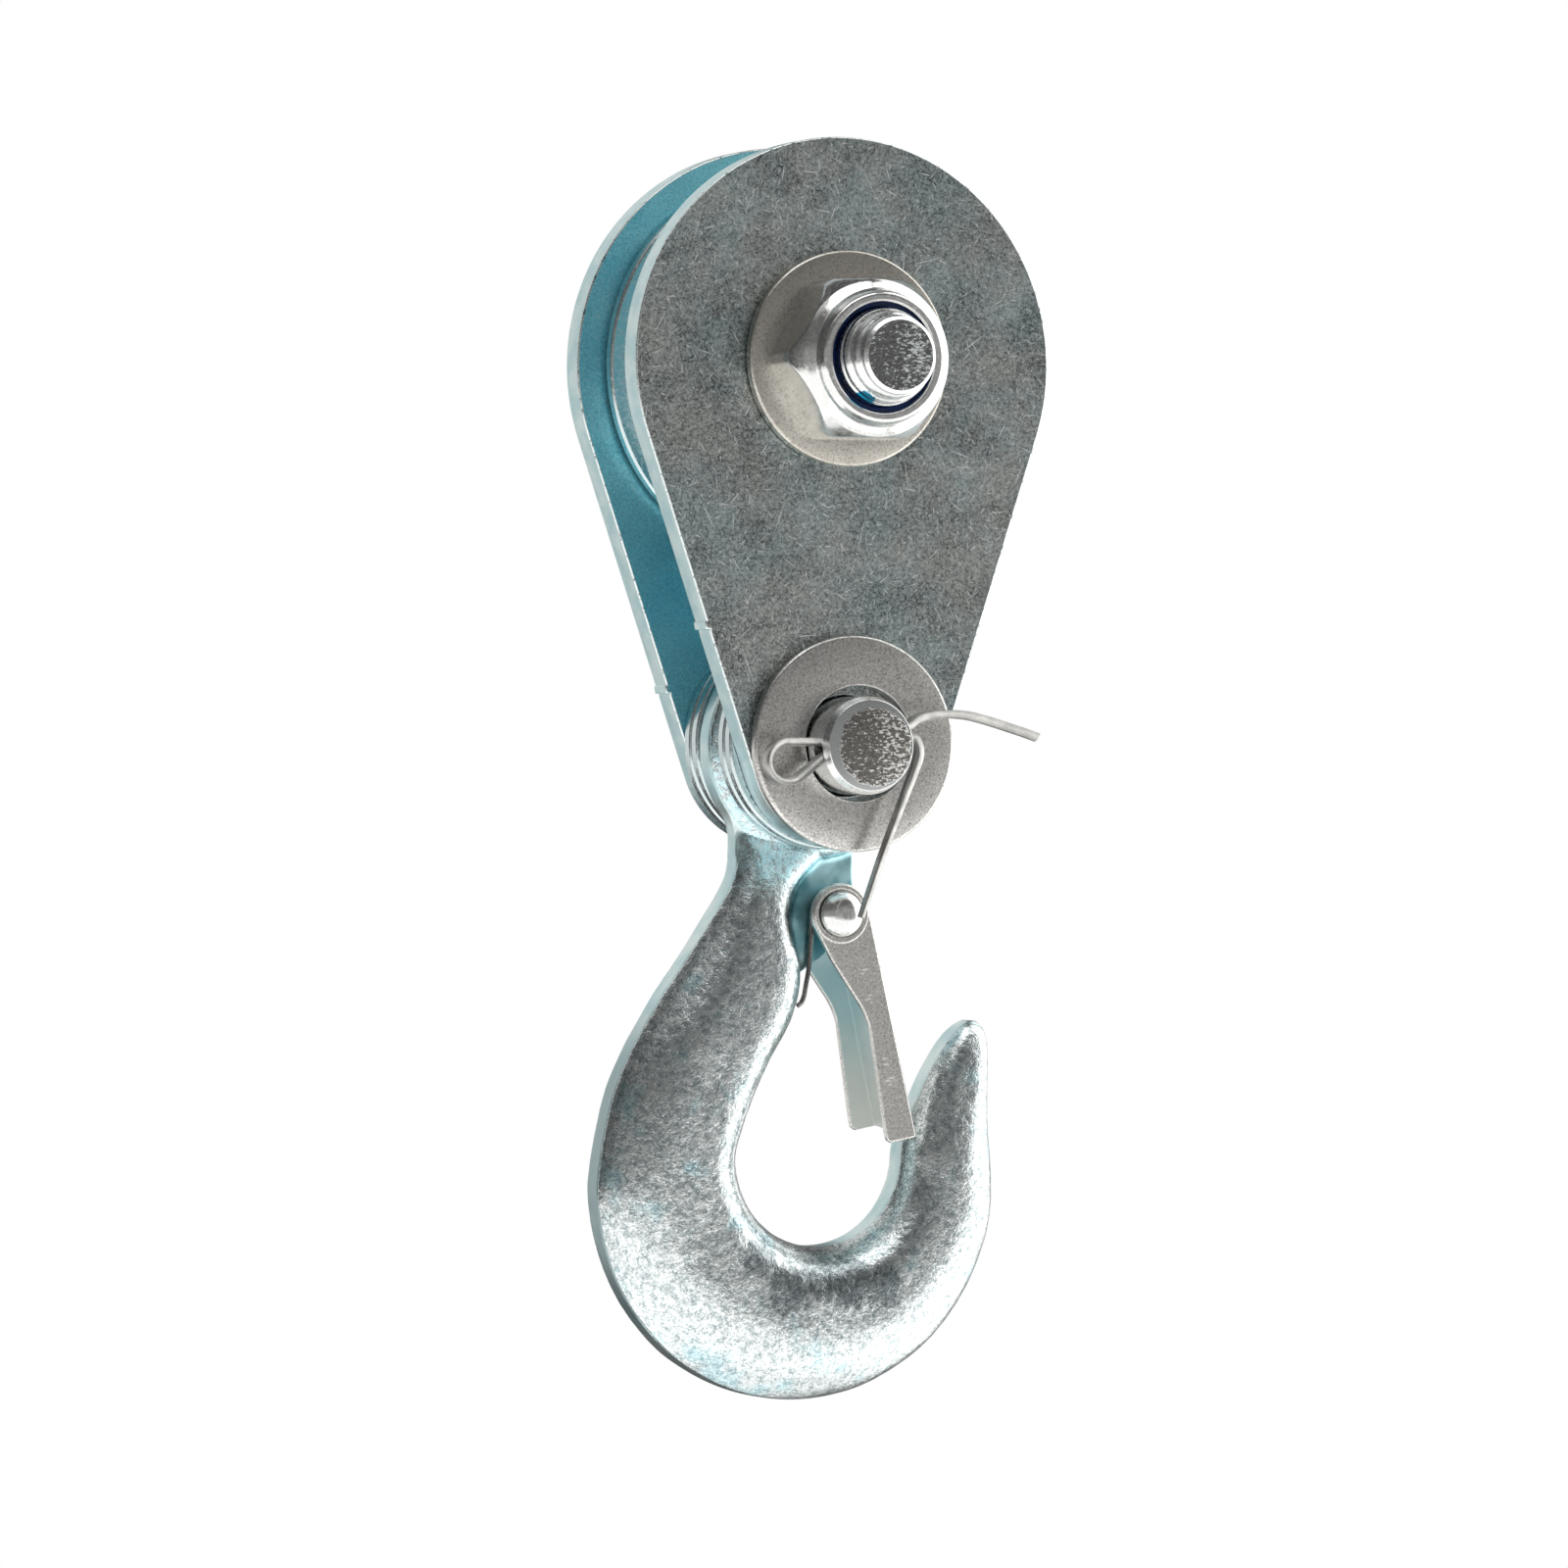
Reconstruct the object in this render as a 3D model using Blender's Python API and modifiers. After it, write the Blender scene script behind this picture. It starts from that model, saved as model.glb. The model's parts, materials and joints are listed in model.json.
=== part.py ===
"""Hook block: one rope sheave between two cheek plates, with an eye hook and its spring latch below.

Metres, +Z up. The origin is the centre of the sheave axle. The front, where the nut and the cotter pin
are, faces -Y, the axles run along Y, and the hook opens towards +X.
"""
import math

import bmesh
import bpy
from mathutils import Matrix, Vector

MM = 0.001
GAP = 0.3 * MM                      # clearance kept between touching pieces

# Cheek plates
CHEEK_TOP_RADIUS = 46.0 * MM
CHEEK_FOOT_RADIUS = 20.9 * MM
CHEEK_THICKNESS = 6.35 * MM
CHEEK_SPACING = 25.1 * MM           # clear width between the two plates
PIN_DROP = 78.4 * MM                # axle centre down to the hook pin centre
NUB_LENGTH = 2.4 * MM
NUB_HEIGHT = 0.6 * MM
NUB_ALONG_EDGE = {"cheek_front": 0.56, "cheek_rear": 0.74}   # share of the straight edge, from the top

# Axle bolt, nut and the parts on the axle
BOLT_RADIUS = 10.0 * MM
BOLT_BEYOND_WASHER = 24.6 * MM
BOLT_CHAMFER = 1.5 * MM
HEX_ACROSS_FLATS = 32.2 * MM
HEAD_HEIGHT = 12.6 * MM
NUT_HEX_HEIGHT = 12.8 * MM
NUT_COLLAR_RADIUS = 13.7 * MM
NUT_COLLAR_TOP = 17.4 * MM
NUT_CHAMFER = 1.8 * MM
HEAD_CHAMFER = 1.5 * MM
CHAMFER_INSET = 0.97                # a turned-down face's radius as a share of half the width across flats
INSERT_RADIUS = 11.8 * MM
INSERT_THICKNESS = 3.6 * MM
WASHER_RADIUS = 22.1 * MM
WASHER_BORE_RADIUS = 11.8 * MM
WASHER_THICKNESS = 3.3 * MM
AXLE_WASHER_LIFT = 0.6 * MM         # the front axle washer sits this much off centre
SLEEVE_RADIUS = 12.6 * MM
BUSH_RADIUS = 16.0 * MM
THRUST_RADIUS = 21.0 * MM
THRUST_THICKNESS = 1.4 * MM

# Sheave
SHEAVE_RADIUS = 40.6 * MM
SHEAVE_RIM_HALF_WIDTH = 11.0 * MM
SHEAVE_HUB_HALF_WIDTH = 10.5 * MM
SHEAVE_WEB_HALF_WIDTH = 9.2 * MM
GROOVE_RADIUS = 5.3 * MM            # seat of the rope
GROOVE_ROOT = 27.0 * MM             # wheel radius at the bottom of the groove
GROOVE_SLOPE = math.radians(17.0)

# Hook pin, its washer and its cotter
PIN_RADIUS = 10.0 * MM
PIN_BEYOND_WASHER = 9.6 * MM
PIN_CHAMFER = 0.9 * MM
PIN_HEAD_RADIUS = 14.5 * MM
PIN_HEAD_HEIGHT = 5.0 * MM
PIN_HEAD_CHAMFER = 1.0 * MM
COTTER_HOLE_FROM_WASHER = 5.4 * MM  # from the washer's face to the middle of the cotter hole
COTTER_HOLE_RADIUS = 2.5 * MM
COTTER_HOLE_TILT = math.radians(10.0)
COTTER_HOLE_LIFT = 0.6 * MM
COTTER_LEG_RADIUS = 0.92 * MM
LOOSE_WASHER_SHIFT = (-0.7 * MM, 0.9 * MM)   # the inner washers lie off centre on the pin, by (x, z)

# Hook, in millimetres from the pin centre
EYE_RADIUS = 23.6 * MM
EYE_RIM_HALF = 2.6 * MM
EYE_HALF = 4.85 * MM
EYE_BORE_RADIUS = 10.5 * MM
BAND_HALF = 2.6                     # flat parting band around the hook's edge
BAND_SHARE = 0.55                   # the band's largest share of a thin section's depth
FLANK_START = math.radians(22.0)    # where the ellipse of a section's flank leaves the band
FLANK_STEPS = 5
BOWL_OUTER = (-4.05, -90.4, 44.5)   # centre x, centre z, radius
BOWL_INNER = (0.6, -84.4, 18.6)
# Each station is (outer x, outer z, inner x, inner z, half depth).
SHANK_STATIONS = (
    (-11.0, -9.0, 11.0, -9.0, 3.6),
    (-16.6, -17.6, 8.0, -19.0, 4.0),
    (-17.2, -21.8, 1.6, -23.6, 5.0),
    (-18.0, -26.6, -4.0, -29.6, 7.2),
    (-20.6, -31.6, -5.4, -37.0, 8.8),
    (-25.4, -38.6, -3.2, -47.6, 9.8),
    (-31.0, -46.4, -5.4, -56.6, 10.6),
    (-36.4, -54.2, -10.4, -65.0, 11.2),
    (-41.4, -62.8, -14.2, -72.6, 11.6),
    (-45.4, -72.0, -16.7, -79.0, 11.9),
)
TIP_STATIONS = (
    (40.2, -87.0, 19.5, -82.5, 9.6),
    (39.5, -79.5, 22.4, -75.0, 8.2),
    (39.4, -71.4, 26.2, -67.0, 6.9),
    (39.7, -64.2, 30.0, -61.2, 5.6),
    (39.2, -59.4, 33.0, -58.2, 4.0),
    (37.6, -57.0, 35.2, -56.8, 2.0),
)
BOWL_START = 176.0                  # degrees, at the back of the hook
BOWL_END = 352.0
BOWL_STEPS = 16
BOWL_DEPTH = 12.0
BOWL_END_DEPTH = 10.2

# Latch and its rivet, in the frame of the whole object
RIVET = (3.5 * MM, -113.0 * MM)     # x, z
RIVET_RADIUS = 2.4 * MM
RIVET_HEAD_RADIUS = 4.8 * MM
RIVET_HEAD_HEIGHT = 2.6 * MM
LUG_RADIUS = 5.7 * MM
LUG_HALF = 2.6 * MM
LATCH_HALF_WIDTH = 8.5 * MM
LATCH_SHEET = 1.4 * MM
LATCH_EAR_RADIUS = 6.4 * MM
LATCH_WEB_TOP = -122.5 * MM
SPRING_WIRE_RADIUS = 0.5 * MM
SPRING_COIL_RADIUS = 4.3 * MM
SPRING_TURNS = 2.25

CHEEK_INNER = CHEEK_SPACING / 2
CHEEK_OUTER = CHEEK_INNER + CHEEK_THICKNESS
WASHER_FACE = CHEEK_OUTER + GAP + WASHER_THICKNESS    # distance of a washer's outer face from Y = 0
PIN_CENTRE = (0.0, -PIN_DROP)
MERGE_DISTANCE = 1e-6


# ---------------------------------------------------------------- materials and collections

def new_collection(name):
    group = bpy.data.collections.new(name)
    bpy.context.scene.collection.children.link(group)
    return group


def metal(name, colour, roughness, metallic=1.0):
    material = bpy.data.materials.new(name)
    material.use_nodes = True
    shader = material.node_tree.nodes["Principled BSDF"]
    shader.inputs["Base Color"].default_value = (*colour, 1.0)
    shader.inputs["Roughness"].default_value = roughness
    shader.inputs["Metallic"].default_value = metallic
    return material


# ---------------------------------------------------------------- shape helpers

def arc(centre, radius, start, end, steps):
    """Points (x, z) on a circle, from the start angle to the end angle in degrees."""
    points = []
    for i in range(steps + 1):
        angle = math.radians(start + (end - start) * i / steps)
        points.append((centre[0] + radius * math.cos(angle), centre[1] + radius * math.sin(angle)))
    return points


def add_object(name, data, group, material=None):
    piece = bpy.data.objects.new(name, data)
    group.objects.link(piece)
    if material:
        data.materials.append(material)
    return piece


def turned(name, profile, group, material, centre=(0.0, 0.0), y=0.0, steps=40, closed=True):
    """A profile of (radius, distance along +Y) turned round an axle that runs along Y."""
    mesh = bpy.data.meshes.new(name)
    points = [(radius, 0.0, along) for radius, along in profile]
    edges = [(i, i + 1) for i in range(len(points) - 1)]
    if closed:
        edges.append((len(points) - 1, 0))
    mesh.from_pydata(points, edges, [])
    piece = add_object(name, mesh, group, material)
    piece.location = (centre[0], y, centre[1])
    piece.rotation_euler = (-math.pi / 2, 0.0, 0.0)
    screw = piece.modifiers.new("turn", "SCREW")
    screw.axis = "Z"
    screw.steps = steps
    screw.render_steps = steps
    screw.use_merge_vertices = True
    screw.merge_threshold = MERGE_DISTANCE
    screw.use_smooth_shade = True
    return piece


def ring_profile(outer, bore, half_width, edge):
    """A flat ring with softened outer corners, listed from the rear outer corner round to the bore."""
    return [
        (outer - edge, half_width),
        (outer, half_width - edge),
        (outer, -half_width + edge),
        (outer - edge, -half_width),
        (bore, -half_width),
        (bore, half_width),
    ]


def plate(name, outlines, group, material, y_front, y_rear):
    """Closed outlines of (x, z) points as a flat plate between two Y planes. Inner outlines are holes."""
    curve = bpy.data.curves.new(name, "CURVE")
    curve.dimensions = "2D"
    curve.fill_mode = "BOTH"
    curve.extrude = abs(y_rear - y_front) / 2
    for outline in outlines:
        spline = curve.splines.new("POLY")
        spline.points.add(len(outline) - 1)
        for point, (x, z) in zip(spline.points, outline):
            point.co = (x, z, 0.0, 1.0)
        spline.use_cyclic_u = True
    piece = add_object(name, curve, group, material)
    piece.location = (0.0, (y_front + y_rear) / 2, 0.0)
    piece.rotation_euler = (math.pi / 2, 0.0, 0.0)
    return piece


def as_mesh(piece, group):
    """Replaces a curve object with the welded mesh of the same shape."""
    bpy.context.view_layer.update()
    graph = bpy.context.evaluated_depsgraph_get()
    mesh = bpy.data.meshes.new_from_object(piece.evaluated_get(graph))
    shape = bmesh.new()
    shape.from_mesh(mesh)
    bmesh.ops.remove_doubles(shape, verts=shape.verts, dist=MERGE_DISTANCE)
    bmesh.ops.recalc_face_normals(shape, faces=shape.faces)
    shape.to_mesh(mesh)
    shape.free()
    name = piece.name
    place = piece.matrix_world.copy()
    bpy.data.objects.remove(piece)
    solid = bpy.data.objects.new(name, mesh)
    group.objects.link(solid)
    solid.matrix_world = place
    return solid


def wire(name, route, radius, group, material):
    """A round wire through a list of points."""
    curve = bpy.data.curves.new(name, "CURVE")
    curve.dimensions = "3D"
    curve.bevel_depth = radius
    curve.bevel_resolution = 2
    curve.use_fill_caps = True
    spline = curve.splines.new("POLY")
    spline.points.add(len(route) - 1)
    for point, place in zip(spline.points, route):
        point.co = (*place, 1.0)
    return add_object(name, curve, group, material)


def smooth_route(points, per_span):
    """A Catmull-Rom curve through the points, which may have any number of values each."""
    ends = [points[0], *points, points[-1]]
    route = []
    for i in range(1, len(ends) - 2):
        for step in range(per_span):
            t = step / per_span
            route.append(tuple(
                0.5 * (2 * b + (c - a) * t + (2 * a - 5 * b + 4 * c - d) * t ** 2
                       + (3 * b - a - 3 * c + d) * t ** 3)
                for a, b, c, d in zip(ends[i - 1], ends[i], ends[i + 1], ends[i + 2])))
    route.append(tuple(points[-1]))
    return route


def boolean(piece, operation, other):
    modifier = piece.modifiers.new(operation.lower(), "BOOLEAN")
    modifier.operation = operation
    modifier.solver = "EXACT"
    modifier.object = other


def hide(piece):
    piece.hide_render = True
    piece.display_type = "WIRE"
    return piece


def rod(name, group, centre, radius, y_front, y_rear, steps=24):
    """A plain cylinder along Y, for cutting a bore."""
    profile = [(0.0, y_rear), (radius, y_rear), (radius, y_front), (0.0, y_front)]
    return hide(turned(name, profile, group, None, centre=centre, steps=steps, closed=False))


# ---------------------------------------------------------------- cheek plates

def cheek_outline(nub_share):
    """A large arc at the top and a small one at the foot, joined by straight edges."""
    lean = math.degrees(math.asin((CHEEK_TOP_RADIUS - CHEEK_FOOT_RADIUS) / PIN_DROP))
    top = arc((0.0, 0.0), CHEEK_TOP_RADIUS, -lean, 180.0 + lean, 44)
    foot = arc(PIN_CENTRE, CHEEK_FOOT_RADIUS, 180.0 + lean, 360.0 - lean, 22)
    start = Vector(top[-1])
    edge = Vector(foot[0]) - start
    along = edge.normalized()
    outward = Vector((along.y, -along.x))
    nub = []
    for shift, height in ((-0.5, 0.0), (-0.35, 0.8), (0.2, 1.0), (0.25, -0.3), (0.5, 0.0)):
        place = start + edge * nub_share + along * (shift * NUB_LENGTH)
        nub.append(tuple(place + outward * (height * NUB_HEIGHT)))
    return top + nub + foot


def build_cheeks(group, zinc):
    holes = [
        arc((0.0, 0.0), BOLT_RADIUS + GAP, 0.0, 345.0, 23),
        arc(PIN_CENTRE, PIN_RADIUS + GAP, 0.0, 345.0, 23),
    ]
    for name, side in (("cheek_front", -1.0), ("cheek_rear", 1.0)):
        outline = cheek_outline(NUB_ALONG_EDGE[name])
        plate(name, [outline, *holes], group, zinc, side * CHEEK_INNER, side * CHEEK_OUTER)


# ---------------------------------------------------------------- axle

def hex_prism(name, group, y_front, y_rear, chamfer, chamfer_side):
    """A hexagon with flats at the top and bottom, whose corners are turned down on one side (-1 or 1)."""
    shape = bmesh.new()
    corner_radius = HEX_ACROSS_FLATS / 2 / math.cos(math.pi / 6)
    bmesh.ops.create_cone(shape, cap_ends=True, segments=6, radius1=corner_radius, radius2=corner_radius,
                          depth=y_rear - y_front,
                          matrix=Matrix.Rotation(math.pi / 2, 4, "X") @ Matrix.Rotation(math.pi / 6, 4, "Z"))
    mesh = bpy.data.meshes.new(name)
    shape.to_mesh(mesh)
    shape.free()
    piece = add_object(name, mesh, group)
    piece.location = (0.0, (y_front + y_rear) / 2, 0.0)
    flat_radius = HEX_ACROSS_FLATS / 2 * CHAMFER_INSET
    wide = corner_radius * 1.1
    margin = 1.0 * MM
    slope_end = flat_radius + chamfer * 3.0
    if chamfer_side < 0:
        profile = [(0.0, y_rear + margin), (wide, y_rear + margin), (wide, y_front + chamfer),
                   (slope_end, y_front + chamfer), (flat_radius, y_front), (0.0, y_front)]
    else:
        profile = [(0.0, y_rear), (flat_radius, y_rear), (slope_end, y_rear - chamfer),
                   (wide, y_rear - chamfer), (wide, y_front - margin), (0.0, y_front - margin)]
    return piece, profile


def build_axle(group, cutters, zinc, nylon, bronze, plated):
    washer_half = WASHER_THICKNESS / 2
    washer_middle = CHEEK_OUTER + GAP + washer_half
    washer = ring_profile(WASHER_RADIUS, BOLT_RADIUS + 3 * GAP, washer_half, 0.5 * MM)
    turned("axle_washer_front", washer, group, plated, centre=(0.0, AXLE_WASHER_LIFT), y=-washer_middle)
    turned("axle_washer_rear", washer, group, plated, y=washer_middle)

    head_near = WASHER_FACE + GAP
    head, chamfer_shape = hex_prism("axle_bolt", group, head_near, head_near + HEAD_HEIGHT, HEAD_CHAMFER, 1)
    head.data.materials.append(zinc)
    boolean(head, "INTERSECT", hide(turned("cut_bolt_head", chamfer_shape, cutters, None, closed=False)))
    bolt_end = -(WASHER_FACE + BOLT_BEYOND_WASHER)
    shank = [
        (0.0, head_near + HEAD_HEIGHT / 2),
        (BOLT_RADIUS, head_near + HEAD_HEIGHT / 2),
        (BOLT_RADIUS, bolt_end + BOLT_CHAMFER),
        (BOLT_RADIUS - BOLT_CHAMFER, bolt_end),
        (0.0, bolt_end),
    ]
    boolean(head, "UNION", hide(turned("join_bolt_shank", shank, cutters, None, closed=False)))

    nut_rear = -(WASHER_FACE + GAP)
    nut_front = nut_rear - NUT_HEX_HEIGHT
    collar_front = nut_rear - NUT_COLLAR_TOP
    nut, chamfer_shape = hex_prism("axle_nut", group, nut_front, nut_rear, NUT_CHAMFER, -1)
    nut.data.materials.append(zinc)
    boolean(nut, "INTERSECT", hide(turned("cut_nut_corners", chamfer_shape, cutters, None, closed=False)))
    collar = [
        (0.0, nut_rear - 2 * MM),
        (NUT_COLLAR_RADIUS, nut_rear - 2 * MM),
        (NUT_COLLAR_RADIUS, collar_front + 1.5 * MM),
        (NUT_COLLAR_RADIUS - 1.2 * MM, collar_front),
        (0.0, collar_front),
    ]
    boolean(nut, "UNION", hide(turned("join_nut_collar", collar, cutters, None, closed=False)))
    insert_front = collar_front + 0.6 * MM
    insert_rear = insert_front + INSERT_THICKNESS
    nut_bore = [
        (0.0, nut_rear + 1 * MM),
        (BOLT_RADIUS + GAP, nut_rear + 1 * MM),
        (BOLT_RADIUS + GAP, insert_rear + GAP),
        (INSERT_RADIUS + GAP, insert_rear + GAP),
        (INSERT_RADIUS + GAP, collar_front - 1 * MM),
        (0.0, collar_front - 1 * MM),
    ]
    boolean(nut, "DIFFERENCE", hide(turned("cut_nut_bore", nut_bore, cutters, None, closed=False)))
    insert = ring_profile(INSERT_RADIUS, BOLT_RADIUS + GAP, INSERT_THICKNESS / 2, 0.3 * MM)
    turned("nut_nylon_insert", insert, group, nylon, y=(insert_front + insert_rear) / 2, steps=32)

    sleeve = ring_profile(SLEEVE_RADIUS, BOLT_RADIUS + GAP, CHEEK_INNER - GAP, 0.3 * MM)
    turned("axle_sleeve", sleeve, group, plated, steps=32)
    bush = ring_profile(BUSH_RADIUS, SLEEVE_RADIUS + GAP, SHEAVE_HUB_HALF_WIDTH, 0.3 * MM)
    turned("sheave_bush", bush, group, bronze, steps=32)
    thrust = ring_profile(THRUST_RADIUS, SLEEVE_RADIUS + GAP, THRUST_THICKNESS / 2, 0.2 * MM)
    thrust_middle = CHEEK_INNER - GAP - THRUST_THICKNESS / 2
    turned("thrust_washer_front", thrust, group, bronze, y=-thrust_middle, steps=32)
    turned("thrust_washer_rear", thrust, group, bronze, y=thrust_middle, steps=32)


# ---------------------------------------------------------------- sheave

def groove_half(steps):
    """The rear half of the rope groove as (radius, y), from the rim's land down to the root."""
    seat_centre = GROOVE_ROOT + GROOVE_RADIUS
    land = SHEAVE_RADIUS - 0.8 * MM
    wall_foot = seat_centre - GROOVE_RADIUS * math.sin(GROOVE_SLOPE)
    wall_foot_y = GROOVE_RADIUS * math.cos(GROOVE_SLOPE)
    mouth_y = wall_foot_y + (land - wall_foot) * math.tan(GROOVE_SLOPE)
    points = [(SHEAVE_RADIUS, mouth_y + 0.9 * MM), (land, mouth_y)]
    for i in range(steps + 1):
        angle = GROOVE_SLOPE + (math.pi / 2 - GROOVE_SLOPE) * i / steps
        points.append((seat_centre - GROOVE_RADIUS * math.sin(angle), GROOVE_RADIUS * math.cos(angle)))
    return points


def build_sheave(group, steel):
    groove = groove_half(4)
    other_wall = [(radius, -y) for radius, y in reversed(groove[:-1])]
    web_inner = THRUST_RADIUS + 0.6 * MM
    web_outer = GROOVE_ROOT + 5.0 * MM
    rear_side = [
        (BUSH_RADIUS + GAP, SHEAVE_HUB_HALF_WIDTH),
        (web_inner, SHEAVE_HUB_HALF_WIDTH),
        (web_inner + 1 * MM, SHEAVE_WEB_HALF_WIDTH),
        (web_outer, SHEAVE_WEB_HALF_WIDTH),
        (web_outer + 2 * MM, SHEAVE_RIM_HALF_WIDTH),
        (SHEAVE_RADIUS - 0.8 * MM, SHEAVE_RIM_HALF_WIDTH),
        (SHEAVE_RADIUS, SHEAVE_RIM_HALF_WIDTH - 0.8 * MM),
    ]
    front_side = [(radius, -y) for radius, y in reversed(rear_side)]
    turned("sheave", rear_side + groove + other_wall + front_side, group, steel, steps=48)


# ---------------------------------------------------------------- hook pin and what is on it

def cotter_route():
    """One wire: right-hand leg, through the pin, round the eye, back through the pin, bent-down leg.

    The points are (x, z) in millimetres from the pin centre.
    """
    apart = 1.15                    # each leg's distance from the middle of the hole
    slope = math.tan(COTTER_HOLE_TILT)
    lift = COTTER_HOLE_LIFT / MM
    eye = (-17.4, -2.8)
    eye_radius = 4.3
    upper = [(38.4, 1.7), (33.5, 4.5), (28.0, 6.2), (20.7, 7.0), (15.0, 6.1), (11.8, 4.8)]
    upper += [(x, lift + apart + slope * x) for x in (9.0, 0.0, -9.0)]
    round_eye = arc(eye, eye_radius, 72.0, 318.0, 12)
    lower = [(x, lift - apart + slope * x) for x in (-9.0, 0.0, 9.0)]
    lower += [(11.6, 1.6), (12.9, -0.6), (12.6, -3.2), (11.0, -7.0), (8.2, -13.0), (4.4, -22.5), (0.2, -34.6)]
    return upper + round_eye + lower


def build_hook_pin(group, cutters, zinc, steel, plated):
    washer_half = WASHER_THICKNESS / 2
    washer = ring_profile(WASHER_RADIUS, WASHER_BORE_RADIUS, washer_half, 0.5 * MM)
    pin_washer = turned("pin_washer", washer, group, plated, centre=PIN_CENTRE)
    pin_washer.location.y = -(CHEEK_OUTER + GAP + washer_half)

    shifted = (PIN_CENTRE[0] + LOOSE_WASHER_SHIFT[0], PIN_CENTRE[1] + LOOSE_WASHER_SHIFT[1])
    outer_middle = CHEEK_INNER - GAP - washer_half
    inner_middle = outer_middle - WASHER_THICKNESS - GAP
    for side, word in ((-1.0, "front"), (1.0, "rear")):
        for middle, place in ((outer_middle, "outer"), (inner_middle, "inner")):
            turned(f"eye_washer_{word}_{place}", washer, group, plated, centre=shifted, y=side * middle)

    pin_end = -(WASHER_FACE + PIN_BEYOND_WASHER)
    head_near = CHEEK_OUTER + GAP
    profile = [
        (0.0, head_near + PIN_HEAD_HEIGHT),
        (PIN_HEAD_RADIUS - PIN_HEAD_CHAMFER, head_near + PIN_HEAD_HEIGHT),
        (PIN_HEAD_RADIUS, head_near + PIN_HEAD_HEIGHT - PIN_HEAD_CHAMFER),
        (PIN_HEAD_RADIUS, head_near),
        (PIN_RADIUS, head_near),
        (PIN_RADIUS, pin_end + PIN_CHAMFER),
        (PIN_RADIUS - PIN_CHAMFER, pin_end),
        (0.0, pin_end),
    ]
    pin = turned("hook_pin", profile, group, zinc, centre=PIN_CENTRE, closed=False)
    hole_y = -(WASHER_FACE + COTTER_HOLE_FROM_WASHER)
    drill = bmesh.new()
    bmesh.ops.create_cone(drill, cap_ends=True, segments=16, radius1=COTTER_HOLE_RADIUS,
                          radius2=COTTER_HOLE_RADIUS, depth=4 * PIN_RADIUS,
                          matrix=Matrix.Rotation(math.pi / 2 - COTTER_HOLE_TILT, 4, "Y"))
    mesh = bpy.data.meshes.new("cut_cotter_hole")
    drill.to_mesh(mesh)
    drill.free()
    hole = hide(add_object("cut_cotter_hole", mesh, cutters))
    hole.location = (0.0, hole_y, PIN_CENTRE[1] + COTTER_HOLE_LIFT)
    boolean(pin, "DIFFERENCE", hole)

    route = [(x * MM, hole_y, PIN_CENTRE[1] + z * MM) for x, z in smooth_route(cotter_route(), 2)]
    wire("cotter_pin", route, COTTER_LEG_RADIUS, group, steel)


# ---------------------------------------------------------------- hook

def hook_stations():
    """The shank, the round bowl and the tip as (outer x, outer z, inner x, inner z, half depth)."""
    stations = list(SHANK_STATIONS)
    for i in range(BOWL_STEPS + 1):
        share = i / BOWL_STEPS
        angle = math.radians(BOWL_START + (BOWL_END - BOWL_START) * share)
        outer_x = BOWL_OUTER[0] + BOWL_OUTER[2] * math.cos(angle)
        outer_z = BOWL_OUTER[1] + BOWL_OUTER[2] * math.sin(angle)
        inner_x = BOWL_INNER[0] + BOWL_INNER[2] * math.cos(angle)
        inner_z = BOWL_INNER[1] + BOWL_INNER[2] * math.sin(angle)
        depth = BOWL_DEPTH + (BOWL_END_DEPTH - BOWL_DEPTH) * max(0.0, 2.0 * share - 1.0)
        stations.append((outer_x, outer_z, inner_x, inner_z, depth))
    return stations + list(TIP_STATIONS)


def hook_section(station, flank_steps):
    """A closed section: a flat band at each edge and a domed flank on each face."""
    outer = Vector((station[0], station[1]))
    inner = Vector((station[2], station[3]))
    depth = station[4]
    band = min(BAND_HALF, BAND_SHARE * depth)
    middle = (outer + inner) / 2
    reach = (outer - inner) / 2
    points = []
    for side in (-1.0, 1.0):
        for i in range(flank_steps + 1):
            angle = FLANK_START + (math.pi - 2 * FLANK_START) * i / flank_steps
            across = side * -math.cos(angle) / math.cos(FLANK_START)
            rise = (math.sin(angle) - math.sin(FLANK_START)) / (1 - math.sin(FLANK_START))
            place = middle + reach * across
            points.append(Vector((place.x, side * (band + (depth - band) * rise), place.y)))
    return points


def loft(name, sections, group):
    """A skin over sections that have the same number of points, closed at both ends."""
    shape = bmesh.new()
    rings = [[shape.verts.new(point) for point in section] for section in sections]
    count = len(rings[0])
    for ring, following in zip(rings, rings[1:]):
        for i in range(count):
            j = (i + 1) % count
            shape.faces.new((ring[i], ring[j], following[j], following[i]))
    for ring in (rings[0], rings[-1]):
        middle = shape.verts.new(sum((vert.co for vert in ring), Vector()) / count)
        for i in range(count):
            shape.faces.new((ring[i], ring[(i + 1) % count], middle))
    bmesh.ops.recalc_face_normals(shape, faces=shape.faces)
    mesh = bpy.data.meshes.new(name)
    shape.to_mesh(mesh)
    shape.free()
    return add_object(name, mesh, group)


def lug_outline():
    """The latch lug: a rounded end about the rivet, running back into the neck."""
    end = arc(RIVET, LUG_RADIUS, 0.0, -55.0, 5)
    pin_x, pin_z = PIN_CENTRE
    inside_neck = ((1.6, -44.0), (-3.0, -47.0), (-9.0, -47.0), (-9.0, -24.0), (-2.0, -15.0))
    back = [(pin_x + x * MM, pin_z + z * MM) for x, z in inside_neck]
    return [(RIVET[0] + LUG_RADIUS, pin_z - 15.0 * MM), *end, *back]


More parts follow.
